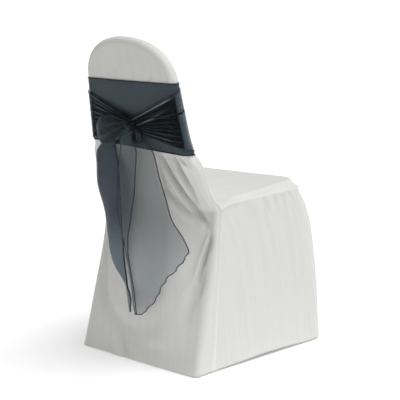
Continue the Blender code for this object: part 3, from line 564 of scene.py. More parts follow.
def rear_depth(x, height, half):
    """How far back the rear face lies at a point."""
    across = min(abs(x) / half, 1.0)
    bow = smooth((across - FACE_FLAT) / (1.0 - FACE_FLAT))
    left = 1.0 - CREASE_CALM * smooth((across - CREASE_CALM_START) / (1.0 - CREASE_CALM_START))
    wander = wander_at(REAR_WANDERS, x, 0.0, height)
    under_sash = smooth((height - CALM_LOW) / CALM_OVER) * smooth((CALM_HIGH - height) / CALM_OVER)
    hem = HEM_RIDGE * smooth((HEM_HEIGHT - height) / HEM_STEP)
    return (mix(back_at("middle", height), back_at("edge", height), bow)
            + left * (creases_at(x, height)[0] + wander) * (1.0 - under_sash) + hem)


def band_way(beyond):
    """How far over the band a grid point is, 0 at the turned edge and 1 at the seam."""
    return 1.0 - (2.0 - 2.0 * beyond) ** SEAM_CLOSER if beyond > 0.5 else 0.0


def on_back(i, j):
    """A grid point's way across the face, its row there, and how far it is beyond the turned edge."""
    way = FACE_WAYS[min(max(i - BAND_STEPS, 0), FACE_COLUMNS)]
    beyond = max(BAND_STEPS - i, i - BAND_STEPS - FACE_COLUMNS, j - BACK_ROWS, 0) / BAND_STEPS
    return way, min(j, BACK_ROWS), beyond


# painted highlight along the seam's ridge
def back_shine(i, j):
    _, _, beyond = on_back(i, j)
    return SEAM_SHINE * smooth((band_way(beyond) - SEAM_SHINE_START) / SEAM_SHINE_OVER)


def back_shade(i, j):
    """The painted shade of the creases and of the hood's face, up to where the panel turns to its seam."""
    a, row, beyond = on_back(i, j)
    x, z = face_spot(a, row, back_at("radius", outline_side(row)[1]))
    hood = HOOD_SHADE * smooth((z - HOOD_SHADE_START) / HOOD_SHADE_RISE)
    return (creases_at(x, z)[1] + hood) * (1.0 - smooth(beyond / SHADE_TURN))


def back_panel_spot(i, j):
    """A point of the back panel, its turned edge and the band up to the seam."""
    a, row, beyond = on_back(i, j)
    if row == BACK_ROWS:
        _, edge_z, nx, nz = crown_point(math.pi / 2 - a * ARCH_SPAN)
    else:
        _, edge_z, nx, nz = outline_side(row)
        nx = math.copysign(nx, a)
    radius = back_at("radius", edge_z)
    x, z = face_spot(a, row, radius)
    y = rear_depth(x, z, back_at("half_width", min(z, SHOULDER)) - radius)
    if beyond == 0.0:
        return x, y, z
    turned = (x + radius * nx, y - radius, z + radius * nz)
    if edge_z > HOOD_START:
        taper = band_taper(edge_z)
        seam = (turned[0] - taper * nx, y - BAND_REACH, turned[2] - taper * nz)
    else:
        seam = (math.copysign(back_at("seam_x", edge_z), x), back_at("seam_y", edge_z), turned[2])
    if beyond <= 0.5:
        turn = beyond * math.pi
        return (x + radius * nx * math.sin(turn), y - radius * (1 - math.cos(turn)),
                z + radius * nz * math.sin(turn))
    t = band_way(beyond)
    to_seam = math.dist(turned, seam) * (1.0 - t)
    ridge = SEAM_RIDGE * hill(to_seam - SEAM_RIDGE_AT, SEAM_RIDGE_WIDE)
    return tuple(mix(p, q, t) + ridge * n for p, q, n in zip(turned, seam, (nx, 0.0, nz)))


def not_a_corner(i, j):
    return j < BACK_ROWS or BAND_STEPS < i < BAND_STEPS + FACE_COLUMNS


back_mesh, _ = lay_cloth("outer_back_cloth", FACE_COLUMNS + 2 * BAND_STEPS, BACK_ROWS + BAND_STEPS,
                         back_panel_spot, not_a_corner, flip=True, shine=back_shine, shade=back_shade)
outer_back_cloth = make_piece("outer_back_cloth", [back_mesh], COVER_THICKNESS, [polyester])

# %% [markdown]
# ## The skirt
#
# One panel goes round both sides and the front. It hangs between two outlines seen from above: the
# seat's seam and the hem on the floor. It turns down over a small radius, and its fullness is eased
# in with small gathers under the seam. On the sides its hem hangs a little higher in the middle.

# %% The skirt
SEAT_HEIGHT, SEAT_REAR_DROP, REAR_DROP_START, REAR_DROP_OVER = 0.4700, 0.0180, 0.0500, 0.0800
Plan = namedtuple("Plan", "rear_x rear_y front_x front_y corner")
SEAT_SEAM = Plan(0.2120, 0.1325, 0.2230, -0.2240, 0.044)
FLOOR_HEM = Plan(0.2260, 0.1680, 0.2530, -0.3020, 0.044)
FRONT_END, CORNER_END = 0.36, 0.50      # where on an outline the front and its corner end
HEM_CLEAR, HEM_LIFT = 0.0035, 0.0070
CORNER_LIFT, CORNER_AT, CORNER_WIDE = 0.0060, 0.43, 0.05        # the front corners hang a little short
FRONT_ROLL, SIDE_ROLL = (0.065, 0.075, 0.030), (0.002, 0.010, 0.060)
FRONT_ROLL_END, FRONT_ROLL_FADE = 0.56, 0.20
SEAM_TURN, SEAM_SLACK, REAR_BLEND = 0.0040, 0.1, 0.20
TUCK_START, TUCK_REACH, TUCK_DEPTH = 0.005, 0.004, 0.0024      # the allowance under the back panel
SKIRT_RIDGE, RIDGE_FADE, SEAT_SEAM_SHINE, SEAT_SEAM_SPREAD = 0.0006, 0.01, 0.18, 3.0
SKIRT_WANDER, LONG_WANDER, WANDER_STRETCH = Wander(0.0008, 0.028, 5.0), Wander(0.0011, 0.060, 21.0), 0.45
WANDER_FADE = 0.05      # the wandering starts this far from the seams
GATHER_START, GATHER_FULL = 0.012, 1.4      # how soon below the seam gathers start, and how full they are
Gather = namedtuple("Gather", "along drop half_width depth")
SKIRT_GATHERS = (
    Gather(-0.485, 0.090, 0.0070, -0.0030), Gather(-0.456, 0.110, 0.0080, -0.0034),
    Gather(-0.423, 0.060, 0.0060, 0.0018), Gather(-0.389, 0.120, 0.0080, -0.0034),
    Gather(-0.368, 0.060, 0.0050, 0.0016), Gather(-0.345, 0.100, 0.0070, -0.0032),
    Gather(-0.310, 0.120, 0.0080, -0.0034), Gather(-0.280, 0.080, 0.0070, -0.0028),
    Gather(-0.215, 0.300, 0.0200, -0.0060), Gather(-0.100, 0.260, 0.0300, -0.0050),
    Gather(0.010, 0.320, 0.0320, 0.0050), Gather(0.110, 0.250, 0.0280, -0.0050),
    Gather(0.215, 0.300, 0.0200, -0.0060), Gather(0.290, 0.080, 0.0080, -0.0030),
    Gather(0.320, 0.110, 0.0090, -0.0035), Gather(0.362, 0.090, 0.0080, -0.0032),
    Gather(0.400, 0.120, 0.0100, -0.0035), Gather(0.440, 0.080, 0.0080, -0.0030),
    Gather(0.470, 0.090, 0.0090, -0.0032),
)


def seam_height(y):
    """Height of the seat's seam, which dips to the rear corners."""
    return SEAT_HEIGHT - SEAT_REAR_DROP * smooth((y - REAR_DROP_START) / REAR_DROP_OVER)


def plan_point(plan, s):
    """A point of a U-shaped outline, s from -1 (rear of the -X side) to 1, and its outward turn."""
    t, sign, corner = abs(s), math.copysign(1.0, s), plan.corner
    lean = (plan.rear_x - plan.front_x) / (plan.rear_y - plan.front_y)
    if t <= FRONT_END:
        x, y, nx, ny = t / FRONT_END * (plan.front_x - corner), plan.front_y, 0.0, -1.0
    elif t <= CORNER_END:
        turn = (t - FRONT_END) / (CORNER_END - FRONT_END) * math.pi / 2
        nx, ny = math.sin(turn), -math.cos(turn)
        x, y = plan.front_x - corner + corner * nx, plan.front_y + corner + corner * ny
    else:
        y = mix(plan.front_y + corner, plan.rear_y, (t - CORNER_END) / (1.0 - CORNER_END))
        x, nx, ny = plan.front_x + lean * (y - plan.front_y - corner), 1.0, 0.0
    return sign * x, y, sign * nx, ny


def seam_distance(s):
    """Distance along the seat's seam from the middle of the front, signed."""
    t, plan = abs(s), SEAT_SEAM
    front, arc = plan.front_x - plan.corner, plan.corner * math.pi / 2
    side = plan.rear_y - plan.front_y - plan.corner
    way = (front * min(t / FRONT_END, 1.0)
           + arc * min(max((t - FRONT_END) / (CORNER_END - FRONT_END), 0.0), 1.0)
           + side * max((t - CORNER_END) / (1.0 - CORNER_END), 0.0))
    return math.copysign(way, s)


def roll_out(shape, drop):
    """How far cloth has moved outwards after falling by drop."""
    reach, over, lean = shape
    return reach * (1.0 - math.exp(-drop / over)) + lean * drop


def skirt_spot(s, turn, t):
    """A point of the skirt: s round the outline, first over its turned edge, then down to the hem."""
    top_x, top_y, nx, ny = plan_point(SEAT_SEAM, s)
    hem_x, hem_y, _, _ = plan_point(FLOOR_HEM, s)
    start = seam_height(top_y) - SEAM_TURN * (1.0 - math.cos(turn))
    out = SEAM_GAP + SEAM_TURN * math.sin(turn)
    end = HEM_CLEAR + HEM_LIFT * math.sin(math.pi * smooth((abs(s) - CORNER_END) / (1.0 - CORNER_END)))
    end += CORNER_LIFT * hill(abs(s) - CORNER_AT, CORNER_WIDE)
    fall, whole = (start - end) * t, start - end
    front = smooth((FRONT_ROLL_END - abs(s)) / FRONT_ROLL_FADE)
    share = mix(roll_out(SIDE_ROLL, fall) / roll_out(SIDE_ROLL, whole),
                roll_out(FRONT_ROLL, fall) / roll_out(FRONT_ROLL, whole), front)
    push = 0.0
    way = seam_distance(s)
    for gather in SKIRT_GATHERS:
        wide = gather.half_width * (1.0 + fall / gather.drop)
        fade = max(1.0 - fall / gather.drop, 0.0) * smooth(fall / GATHER_START)
        push += GATHER_FULL * gather.depth * fade * hill(way - gather.along, wide)
    height = start - fall
    calm = smooth(fall / WANDER_FADE) * smooth((1.0 - abs(s)) / WANDER_FADE)
    push += calm * (wander_at([LONG_WANDER], way, 0.0, height * WANDER_STRETCH)
                    + wander_at([SKIRT_WANDER], way, 0.0, height))
    push += HEM_RIDGE * smooth((HEM_HEIGHT - height + end) / HEM_STEP)
    x = mix(top_x + nx * out, hem_x, share) + nx * push
    y = mix(top_y + ny * out, hem_y, share) + ny * push
    rear = smooth((abs(s) - 1.0 + REAR_BLEND) / REAR_BLEND)
    if t > 0.0:
        x = mix(x, math.copysign(back_at("seam_x", height), s), rear)
    y = mix(y, back_at("seam_y", height) - SEAM_SLACK * SEAM_GAP, rear)
    to_seam = (1.0 - abs(s)) / (1.0 - CORNER_END) * (SEAT_SEAM.rear_y - SEAT_SEAM.front_y - SEAT_SEAM.corner)
    below = smooth(fall / RIDGE_FADE)
    ridge = SKIRT_RIDGE * hill(to_seam - SEAM_RIDGE_AT, SEAM_RIDGE_WIDE) * below
    tuck = smooth((TUCK_START - to_seam) / TUCK_START) * below
    return x + nx * (ridge - TUCK_DEPTH * tuck), y + TUCK_REACH * tuck, height


REAR_EDGE, GATHERED_TO, HEM_FROM = 0.965, 0.16, 0.95       # where the grid's spacing changes
SIDE_STEPS = spread(CORNER_END, REAR_EDGE, 66)[1:] + spread(REAR_EDGE, 1.0, 14)[1:]
HALF_STEPS = spread(0.0, FRONT_END, 46) + spread(FRONT_END, CORNER_END, 18)[1:] + SIDE_STEPS
SKIRT_WAYS = [-s for s in reversed(HALF_STEPS[1:])] + HALF_STEPS
SKIRT_TURNS = 5
SKIRT_DROPS = (spread(0.0, GATHERED_TO, 14)[1:] + spread(GATHERED_TO, HEM_FROM, 36)[1:]
               + spread(HEM_FROM, 1.0, 5)[1:])


def skirt_cell(i, j):
    turn = min(j / SKIRT_TURNS, 1.0) * math.pi / 2
    return skirt_spot(SKIRT_WAYS[i], turn, SKIRT_DROPS[j - SKIRT_TURNS - 1] if j > SKIRT_TURNS else 0.0)


def skirt_shine(i, j):
    """A painted highlight along the seat's seam."""
    return SEAT_SEAM_SHINE * math.exp(-((j - SKIRT_TURNS / 2) ** 2) / SEAT_SEAM_SPREAD)


skirt_mesh, _ = lay_cloth("skirt_cloth", len(SKIRT_WAYS) - 1, SKIRT_TURNS + len(SKIRT_DROPS), skirt_cell,
                          flip=True, shine=skirt_shine)
skirt_cloth = make_piece("skirt_cloth", [skirt_mesh], COVER_THICKNESS, [polyester])

# %% [markdown]
# ## The seat panel
#
# It is stretched over the seat pad, so it is nearly flat with a low crown, and dips quickly to its
# seam. Rings from the middle to the seam keep its cells even and let it follow the seam exactly.

# %% The seat panel
SEAT_CROWN, CROWN_SHARE, SEAT_PITCH, SEAT_TILT = 0.0115, 0.09, 0.0600, 0.0400
SEAT_INSET, SEAT_REACH, SEAT_MIDDLE, SEAT_REST = -0.0008, 0.0030, (0.0, -0.020), 0.4555
INNER_BULGE, CORNER_TURN = 0.007, 0.43
TILT_START, TILT_OVER, SEAT_WANDER, SEAT_WANDER_FADE = 0.05, 0.2, Wander(0.0010, 0.07, 14.0), 0.2
SEAT_RINGS = spread(0.0, 0.84, 13) + spread(0.84, 1.0, 13)[1:]
SEAT_SIDE = len(SEAT_RINGS) - 1


def inner_depth(a, height):
    """How far back the sitter's side of the hood lies, from one side band (-1) to the other (1)."""
    seam = back_at("edge", height) - BAND_REACH if height > HOOD_START else back_at("seam_y", height)
    plane = back_at("edge", HOOD_START) - BAND_REACH + RECLINE * (height - HOOD_START)
    return mix(max(plane, seam), seam, abs(a) ** 4) - INNER_BULGE * (1.0 - a**4)


def seat_outline(a, b):
    """The seat panel's outline for a point on the edge of a square from -1 to 1."""
    if b >= 1.0:
        back = SEAT_SEAM.rear_y + inner_depth(a, SEAT_REST) - inner_depth(1.0, SEAT_REST)
        return a * SEAT_SEAM.rear_x, back + SEAT_REACH * (1.0 - a**4)
    s = CORNER_TURN * a if b <= -1.0 else math.copysign(mix(CORNER_TURN, 1.0, (b + 1.0) / 2), a)
    x, y, nx, ny = plan_point(SEAT_SEAM, s)
    return x - SEAT_INSET * nx, y - SEAT_INSET * ny


def seat_cell(i, j):
    a, b = i / SEAT_SIDE - 1.0, j / SEAT_SIDE - 1.0
    square = max(abs(a), abs(b))
    ring = SEAT_RINGS[round(square * SEAT_SIDE)]
    x, y = SEAT_MIDDLE
    if ring:
        edge = seat_outline(a / square, b / square)
        x, y = (mix(m, e, ring) for m, e in zip(SEAT_MIDDLE, edge))
    tilt = SEAT_TILT * (x + SEAT_SEAM.front_x) * smooth((TILT_START - y) / TILT_OVER)
    rise = (SEAT_CROWN - SEAT_PITCH * y - tilt) * smooth((1.0 - ring) / CROWN_SHARE)
    wander = wander_at([SEAT_WANDER], x, y, 0.0) * smooth((1.0 - ring) / SEAT_WANDER_FADE)
    return x, y, seam_height(y) + rise + wander


seat_mesh, _ = lay_cloth("seat_cloth", 2 * SEAT_SIDE, 2 * SEAT_SIDE, seat_cell)
seat_cloth = make_piece("seat_cloth", [seat_mesh], COVER_THICKNESS, [polyester])

# %% [markdown]
# ## The inner back
#
# The sitter's side of the hood is one smooth panel, which swells a little over the padded back. It
# fits between the side bands, and its lower edge meets the seat panel.

# %% The inner back
SEAT_CLEAR, CORNER_CLEAR, INNER_FLARE, FLARE_OVER, INNER_BEND = 0.0010, 1.5, 0.0008, 0.0400, 3
INNER_ROWS = [0.0] + spread(0.010, 0.330, 40)
INNER_INSET = -0.0009   # its edge reaches a little under the side band's
INNER_WANDER = Wander(0.0010, 0.06, 31.0)
INNER_COUNT = len(INNER_ROWS) + CROWN_STEPS
INNER_COLUMNS = 80


def inner_side(j):
    """The side of the inner back at a row: x and height."""
    if j < len(INNER_ROWS):
        height = SEAT_REST + INNER_ROWS[j]
        column = "seam_x" if height < HOOD_START else "half_width"
        flare = INNER_FLARE * smooth((HOOD_START - height) / FLARE_OVER)
        return back_at(column, height) - INNER_INSET - flare - band_taper(height), height
    k = (j - len(INNER_ROWS)) / CROWN_STEPS
    x, z, _, _ = crown_point(k * (math.pi / 2 - ARCH_SPAN), INNER_INSET + BAND_TAPER)
    return x, z


def inner_cell(i, j):
    a = 2.0 * i / INNER_COLUMNS - 1.0
    x, z = inner_side(j)
    end_x, end_z = inner_side(INNER_COUNT)
    top_x, top_z, _, _ = crown_point(math.pi / 2 - a * ARCH_SPAN, INNER_INSET + BAND_TAPER)
    pull = smooth((z - BEND_START) / (end_z - BEND_START)) ** BEND_POWER if j < INNER_COUNT else 1.0
    x, z = a * x + (top_x - a * end_x) * pull, z + (top_z - end_z) * pull
    wander = wander_at([INNER_WANDER], x, 5.0, z) * (1.0 - a**4)
    y = mix(inner_depth(a, z), back_at("edge", z) - BAND_REACH, pull**INNER_BEND) + wander
    if j == 0:
        z = seam_height(y) + SEAT_CLEAR * (1.0 + CORNER_CLEAR * a**4)
    return x, y, z


inner_mesh, _ = lay_cloth("inner_back_cloth", INNER_COLUMNS, INNER_COUNT, inner_cell)
inner_back_cloth = make_piece("inner_back_cloth", [inner_mesh], COVER_THICKNESS, [polyester])

# %% [markdown]
# ## The sash
#
# One strip of organza goes flat round the hood, comes back gathered, and is tied behind. It is laid
# here in parts that join into one sheet: the flat round, its second layer, the gathered pass that
# runs from the knot round the front to the knot again, the bow's loop and small curl, and the two
# tails. A point of the hood is found by how far round it lies.

# %% Points round the hood
SASH_LOW, SASH_HIGH, SASH_TILT, SASH_CLEAR = 0.6175, 0.8040, 0.0250, 0.0013
KNOT_X, KNOT_HEIGHT, KNOT_PULLED = -0.010, 0.683, (0.021, 0.016, 0.015)
KNOT_STANDS = 0.017     # how far off the band the bow is tied
FLAT_END, TURN_END, SIDE_END, FRONT_TURN_END = 0.44, 0.52, 0.60, 0.64
SECOND_LAYER = 0.0007   # how far two layers of the sash lie apart


def hood_point(height, way, out):
    """A point off the hood: way is 0 behind, 1 in front, and negative on the -X side."""
    t = abs(way)
    half, radius, rear = (back_at(column, height) for column in ("half_width", "radius", "edge"))
    if t <= FLAT_END:
        x, nx, ny = t / FLAT_END * (half - radius), 0.0, 1.0
        y = mix(back_at("middle", height), rear, smooth((t / FLAT_END - FACE_FLAT) / (1.0 - FACE_FLAT)))
    elif t <= TURN_END:
        turn = (t - FLAT_END) / (TURN_END - FLAT_END) * math.pi / 2
        nx, ny = math.sin(turn), math.cos(turn)
        x, y = half - radius + radius * nx, rear - radius + radius * ny
    elif t <= SIDE_END:
        part = (t - TURN_END) / (SIDE_END - TURN_END)
        x, nx, ny = half - part * band_taper(height), 1.0, 0.0
        y = mix(rear - radius, rear - BAND_REACH, part)
    elif t <= FRONT_TURN_END:
        turn = (t - SIDE_END) / (FRONT_TURN_END - SIDE_END) * math.pi / 2
        x, y, nx, ny = half - band_taper(height), rear - BAND_REACH, math.cos(turn), -math.sin(turn)
    else:
        a = 1.0 - (t - FRONT_TURN_END) / (1.0 - FRONT_TURN_END)
        x, y, nx, ny = a * (half - band_taper(height)), inner_depth(a, height), 0.0, -1.0
    return math.copysign(x + out * nx, way), y + out * ny, height


def band_height(x, q):
    """A height on the sash's band, q from its lower edge to its upper one."""
    return mix(SASH_LOW + SASH_TILT * x, SASH_HIGH - SASH_TILT * x, q)


merrow_lines = []       # the sheets' free edges, as lists of points


def add_edge(spots, cells):
    merrow_lines.append([spots[cell] for cell in cells])


def add_long_edges(spots, columns, rows):
    """The merrowed edges along a sheet's first and last row."""
    for row in (0, rows):
        add_edge(spots, [(i, row) for i in range(columns + 1)])


print("the sash's band is", round(SASH_HIGH - SASH_LOW, 3), "m wide")

# %% [markdown]
# The flat round is closed in front. A faint fold from its packing runs across it behind the back.
# Under it lies a second layer of the strip, so the band is darker than one layer would be.

# %% The flat round and its second layer
HALF_ROUND = (spread(0.0, FLAT_END, 34) + spread(FLAT_END, TURN_END, 8)[1:]
              + spread(TURN_END, FRONT_TURN_END, 10)[1:] + spread(FRONT_TURN_END, 1.0, 24)[1:])
ROUND_WAYS = [-w for w in reversed(HALF_ROUND[1:])] + HALF_ROUND
ROUND_COLUMNS, ROUND_ROWS = len(ROUND_WAYS) - 1, 36
ROUND_LIFT, ROUND_WANDER, ROUND_STRETCH = 0.0006, Wander(0.0005, 0.05, 2.0), 3.0
FOLD_LINE, FOLD_WIDE, FOLD_RISE = ((0.150, 0.752), (0.060, 0.749), (-0.010, 0.745)), 0.0022, 0.0011
FOLD_ENDS, FOLD_SHINE, FOLD_SHINE_WIDE = 0.15, 0.30, 0.0030


def round_cell(i, j):
    way = ROUND_WAYS[i]
    x, _, _ = hood_point(SASH_LOW, way, 0.0)
    height = band_height(x, j / ROUND_ROWS)
    out = SASH_CLEAR + ROUND_LIFT + wander_at([ROUND_WANDER], ROUND_STRETCH * way, 0.0, height)
    if abs(way) < FLAT_END:
        away, _, along = near_line(FOLD_LINE, x, height)
        out += FOLD_RISE * math.sin(math.pi * mix(FOLD_ENDS, 1.0 - FOLD_ENDS, along)) * hill(away, FOLD_WIDE)
    return hood_point(height, way, out)


def round_shine(i, j):
    """A faint painted highlight along the fold."""
    x, _, _ = hood_point(SASH_LOW, ROUND_WAYS[i], 0.0)
    away, _, along = near_line(FOLD_LINE, x, band_height(x, j / ROUND_ROWS))
    fold = FOLD_SHINE * hill(away, FOLD_SHINE_WIDE) * math.sin(math.pi * along)
    return fold if abs(ROUND_WAYS[i]) < FLAT_END else 0.0


def layer_cell(i, j):
    way = ROUND_WAYS[i]
    x, _, _ = hood_point(SASH_LOW, way, 0.0)
    return hood_point(band_height(x, j / ROUND_ROWS), way, SASH_CLEAR + ROUND_LIFT - SECOND_LAYER)


ORGANZA, DENSE_SHADED, FOLDED = 0, 1, 2       # the sash's materials
round_mesh, round_spots = lay_cloth("flat_round", ROUND_COLUMNS, ROUND_ROWS, round_cell, flip=True,
                                    shine=round_shine)
add_long_edges(round_spots, ROUND_COLUMNS, ROUND_ROWS)
layer_mesh, _ = lay_cloth("second_layer", ROUND_COLUMNS, ROUND_ROWS, layer_cell, flip=True,
                          finish=lambda i, j: FOLDED)

# %% [markdown]
# The gathered pass starts in the knot, opens like a fan to the side of the hood, lies flat round
# the side and the front, and gathers again on its way back to the knot. Its pleats are drawn as
# folds that overlap, and the gathered material's darker colour is painted shade between them;
# together these make gathered organza look almost black.

# %% The gathered pass
Run = namedtuple("Run", "high low pleats")
NEAR_RUN, FAR_RUN = Run(0.793, 0.624, 9.0), Run(0.770, 0.620, 8.0)
RUN_FLAT = 0.56         # how far round from the knot a run is flat again
RUN_LIFT, RUN_END, RUN_CURVE = 0.016, 0.013, 1.4
PLEAT_DEPTH, PLEAT_FLOOR, SIDE_FLOOR, SIDE_FLOOR_OVER = 0.0036, 0.0024, 0.0016, 0.08
PLEAT_SHALLOWER, GATHER_SOON, PASS_WANDER = 0.35, 1.6, Wander(0.0006, 0.2, 40.0)
PLEAT_TUCK = 1.15       # 1 starts to tuck each pleat under the next
UNEVEN, SWAY = Ripple(0.02, 11.0, 0.0, 2.0), Ripple(1.2, 3.0, 0.0, 0.0)      # of the pleats' spacing
PASS_STOPS = ((0.0, 0.40, 40), (0.40, 0.56, 20), (0.56, 0.66, 10), (0.66, 1.0, 16))
PASS_HALF = [0.0] + [way for stop in PASS_STOPS for way in spread(*stop)[1:]]
PASS_WAYS = [-w for w in PASS_HALF] + [w for w in reversed(PASS_HALF[:-1])]
PASS_COLUMNS, PASS_ROWS = len(PASS_WAYS) - 1, 112
CORNER_WAY = 0.48       # how far round the hood's corner is
SIDE_FOLD, SIDE_FOLD_WIDE = 0.63, 0.035     # where up the near side the pass has a fold
STEP_RISE, STEP_OVER, STEP_WAY = 0.0006, 0.03, 0.06     # below that fold it is a layer thicker
Glint = namedtuple("Glint", "shine half_width start over")      # start and over are nearness to the knot
UPPER_GLINT, SECOND_GLINT = Glint(1.2, 0.017, 0.12, 0.2), Glint(0.60, 0.030, 0.28, 0.4)
UPPER_AT, SECOND_AT = 0.960, (0.98, 0.45)       # how far up the fan the two folds that catch the light are
# painted highlights on the pleats' crests and on the far fan, and painted sheen on the pass round the hood's
# side
CREST_SHARP, NEAR_CRESTS, NEAR_CRESTS_OVER, FAR_CREST = 6, (0.36, 0.10), 0.45, 0.42
FAR_BASE, FAR_UPPER, SIDE_SHINE, SIDE_SHINE_OVER = 0.04, 0.4, 0.48, 0.04


def pass_place(i, j):
    """Where a grid point is on the pass: its way round, its run, how far up and how close to the knot."""
    way = PASS_WAYS[i]
    run = NEAR_RUN if i < len(PASS_HALF) else FAR_RUN
    return way, run, j / PASS_ROWS, max(1.0 - abs(way) / RUN_FLAT, 0.0)


def pleat_phase(run, q, closeness):
    """The pleats' turn at a place, a full turn for each pleat."""
    uneven = q + ripple_at([UNEVEN], q, 0.0)
    return 2 * math.pi * run.pleats * uneven + closeness * ripple_at([SWAY], q, 0.0)


def on_side_fold(way, run, q):
    """Whether a place is on the fold that runs round the near side."""
    return run is NEAR_RUN and SIDE_FOLD < q < SIDE_FOLD + SIDE_FOLD_WIDE and abs(way) < FRONT_TURN_END


def glint_at(glint, off, closeness):
    """How light a fold is that catches the light, at a distance from its line."""
    return glint.shine * hill(off, glint.half_width) * smooth((closeness - glint.start) / glint.over)


def pass_shine(i, j):
    """Painted highlights: the crests of the pleats catch some light, the folds along a fan's upper edge the
    most, and the pass is painted lighter round the hood's side and front.
    """
    way, run, q, closeness = pass_place(i, j)
    crest = max(math.cos(pleat_phase(run, q, closeness)), 0.0) ** CREST_SHARP * smooth(2.0 * closeness)
    crest *= mix(*NEAR_CRESTS, smooth(q / NEAR_CRESTS_OVER)) if run is NEAR_RUN else FAR_CREST
    upper = glint_at(UPPER_GLINT, q - UPPER_AT, closeness)
    second = glint_at(SECOND_GLINT, q - mix(*SECOND_AT, closeness), closeness)
    side = SIDE_SHINE * smooth((abs(way) - CORNER_WAY) / SIDE_SHINE_OVER)
    side = 0.0 if on_side_fold(way, run, q) else side
    return min(side + crest + (upper + second if run is NEAR_RUN else FAR_BASE + FAR_UPPER * upper), 1.0)


def pass_finish(i, j):
    """The dense organza with its painted shade behind the back, where the strip is gathered, and along one
    fold on the near side.
    """
    way, run, q, _ = pass_place(i, j)
    return DENSE_SHADED if abs(way) < CORNER_WAY or on_side_fold(way, run, q) else ORGANZA


def pass_cell(i, j):
    way, run, q, closeness = pass_place(i, j)
    near = run is NEAR_RUN
    front = smooth((abs(way) - FRONT_TURN_END) / (1.0 - FRONT_TURN_END)) / 2
    high = mix(run.high, (FAR_RUN if near else NEAR_RUN).high, front)
    low = mix(run.low, (FAR_RUN if near else NEAR_RUN).low, front)
    low, high = (mix(edge, KNOT_HEIGHT + end, closeness) for edge, end in ((low, -RUN_END), (high, RUN_END)))
    swing = KNOT_X / (back_at("half_width", KNOT_HEIGHT) - back_at("radius", KNOT_HEIGHT)) * FLAT_END
    place = way + swing * closeness**2
    phase = pleat_phase(run, q, closeness)
    gather = smooth(closeness * GATHER_SOON)
    depth = PLEAT_DEPTH * gather * (1.0 - PLEAT_SHALLOWER * closeness)
    tuck = PLEAT_TUCK * (high - low) / (4 * math.pi * run.pleats) * gather
    height = mix(low, high, q) + tuck * math.sin(2 * phase)
    floor = mix(PLEAT_FLOOR, SIDE_FLOOR, smooth((abs(way) - FLAT_END) / SIDE_FLOOR_OVER))
    lift = SASH_CLEAR + floor + RUN_LIFT * closeness**RUN_CURVE
    out = lift + depth / 2 * (1.0 + math.cos(phase)) + gather * wander_at([PASS_WANDER], 2.0 * way, q, 0.0)
    if near:
        below = smooth((SIDE_FOLD + STEP_OVER - q) / STEP_OVER)
        out += STEP_RISE * below * smooth((abs(way) - FLAT_END) / STEP_WAY)
    return hood_point(height, place, out)


pass_mesh, pass_spots = lay_cloth("gathered_pass", PASS_COLUMNS, PASS_ROWS, pass_cell,
                                  shine=pass_shine, finish=pass_finish)
add_long_edges(pass_spots, PASS_COLUMNS, PASS_ROWS)

# %% [markdown]
# The bow has one loop to the left as seen from behind, a pocket of two layers with a fold at its
# end, and under the knot the small end of the other loop shows as a curl. Both are given the
# gathered organza with its painted shade, and the folds that catch the light are painted lighter
# through the shine attribute, as painted highlights.

# %% The loop and the curl
LoopRow = namedtuple("LoopRow", "along x high low spread")
LOOP = curves((
    LoopRow(0.00, 0.000, 0.692, 0.674, 0.003),
    LoopRow(0.25, 0.032, 0.699, 0.660, 0.007),
    LoopRow(0.50, 0.066, 0.704, 0.638, 0.009),
    LoopRow(0.75, 0.095, 0.702, 0.623, 0.009),
    LoopRow(1.00, 0.119, 0.695, 0.622, 0.007),
))
LOOP_TIP, LOOP_OFF, LOOP_STEPS, LOOP_TURNS, LOOP_CELLS = 0.010, 0.0245, 24, 10, 24
LOOP_COLUMNS = 2 * LOOP_STEPS + LOOP_TURNS
LOOP_ROUND, LOOP_HOLLOW, LOOP_SLANT, LOOP_CREASES = 0.5, 0.010, 0.012, Ripple(0.0012, 9.0, 14.0, 0.0)
LOOP_BASE, LOOP_RISE, LOOP_END_SHINE, LOOP_END_WIDE = 0.04, 0.12, 0.45, 3.0
LOOP_LINES, LINE_SHINE, LINE_WIDE, LINE_SLANT = (0.20, 0.55), 0.18, 0.035, 0.006


def loop_cell(i, j):
    q = j / LOOP_CELLS
    back = i - LOOP_STEPS - LOOP_TURNS
    if i <= LOOP_STEPS:
        along, turn = i / LOOP_STEPS, 0.0
    elif back < 0:
        along, turn = 1.0, (i - LOOP_STEPS) / LOOP_TURNS * math.pi
    else:
        along, turn = 1.0 - back / LOOP_STEPS, math.pi
    row = {name: LOOP[name](along) for name in ("x", "high", "low", "spread")}
    from_middle = (2.0 * q - 1.0) ** 2
    bow = 1.0 - LOOP_ROUND * from_middle
    x = row["x"] + LOOP_TIP * math.sin(turn) * bow
    x -= (LOOP_HOLLOW * from_middle + LOOP_SLANT * q) * along
    off = row["spread"] * bow * math.cos(turn) + ripple_at([LOOP_CREASES], q, along) * along
    height = mix(row["low"], row["high"], q)
    _, y, _ = hood_point(height, 0.0, SASH_CLEAR + LOOP_OFF + off)
    return x, y, height


def loop_shine(i, j):
    """Painted highlights on the fold at the loop's end and on two soft creases, which catch the light, over a
    tone that grows lighter away from the knot.
    """
    end = hill(i - LOOP_STEPS - 2, LOOP_END_WIDE)
    lines = sum(hill(j / LOOP_CELLS - up - LINE_SLANT * abs(i - LOOP_STEPS), LINE_WIDE) for up in LOOP_LINES)
    base = LOOP_BASE + LOOP_RISE * smooth(min(i, LOOP_COLUMNS - i) / LOOP_STEPS)
    return base + LOOP_END_SHINE * end + LINE_SHINE * lines


loop_mesh, loop_spots = lay_cloth("loop", LOOP_COLUMNS, LOOP_CELLS, loop_cell, shine=loop_shine,
                                  finish=lambda i, j: DENSE_SHADED)
add_long_edges(loop_spots, LOOP_COLUMNS, LOOP_CELLS)

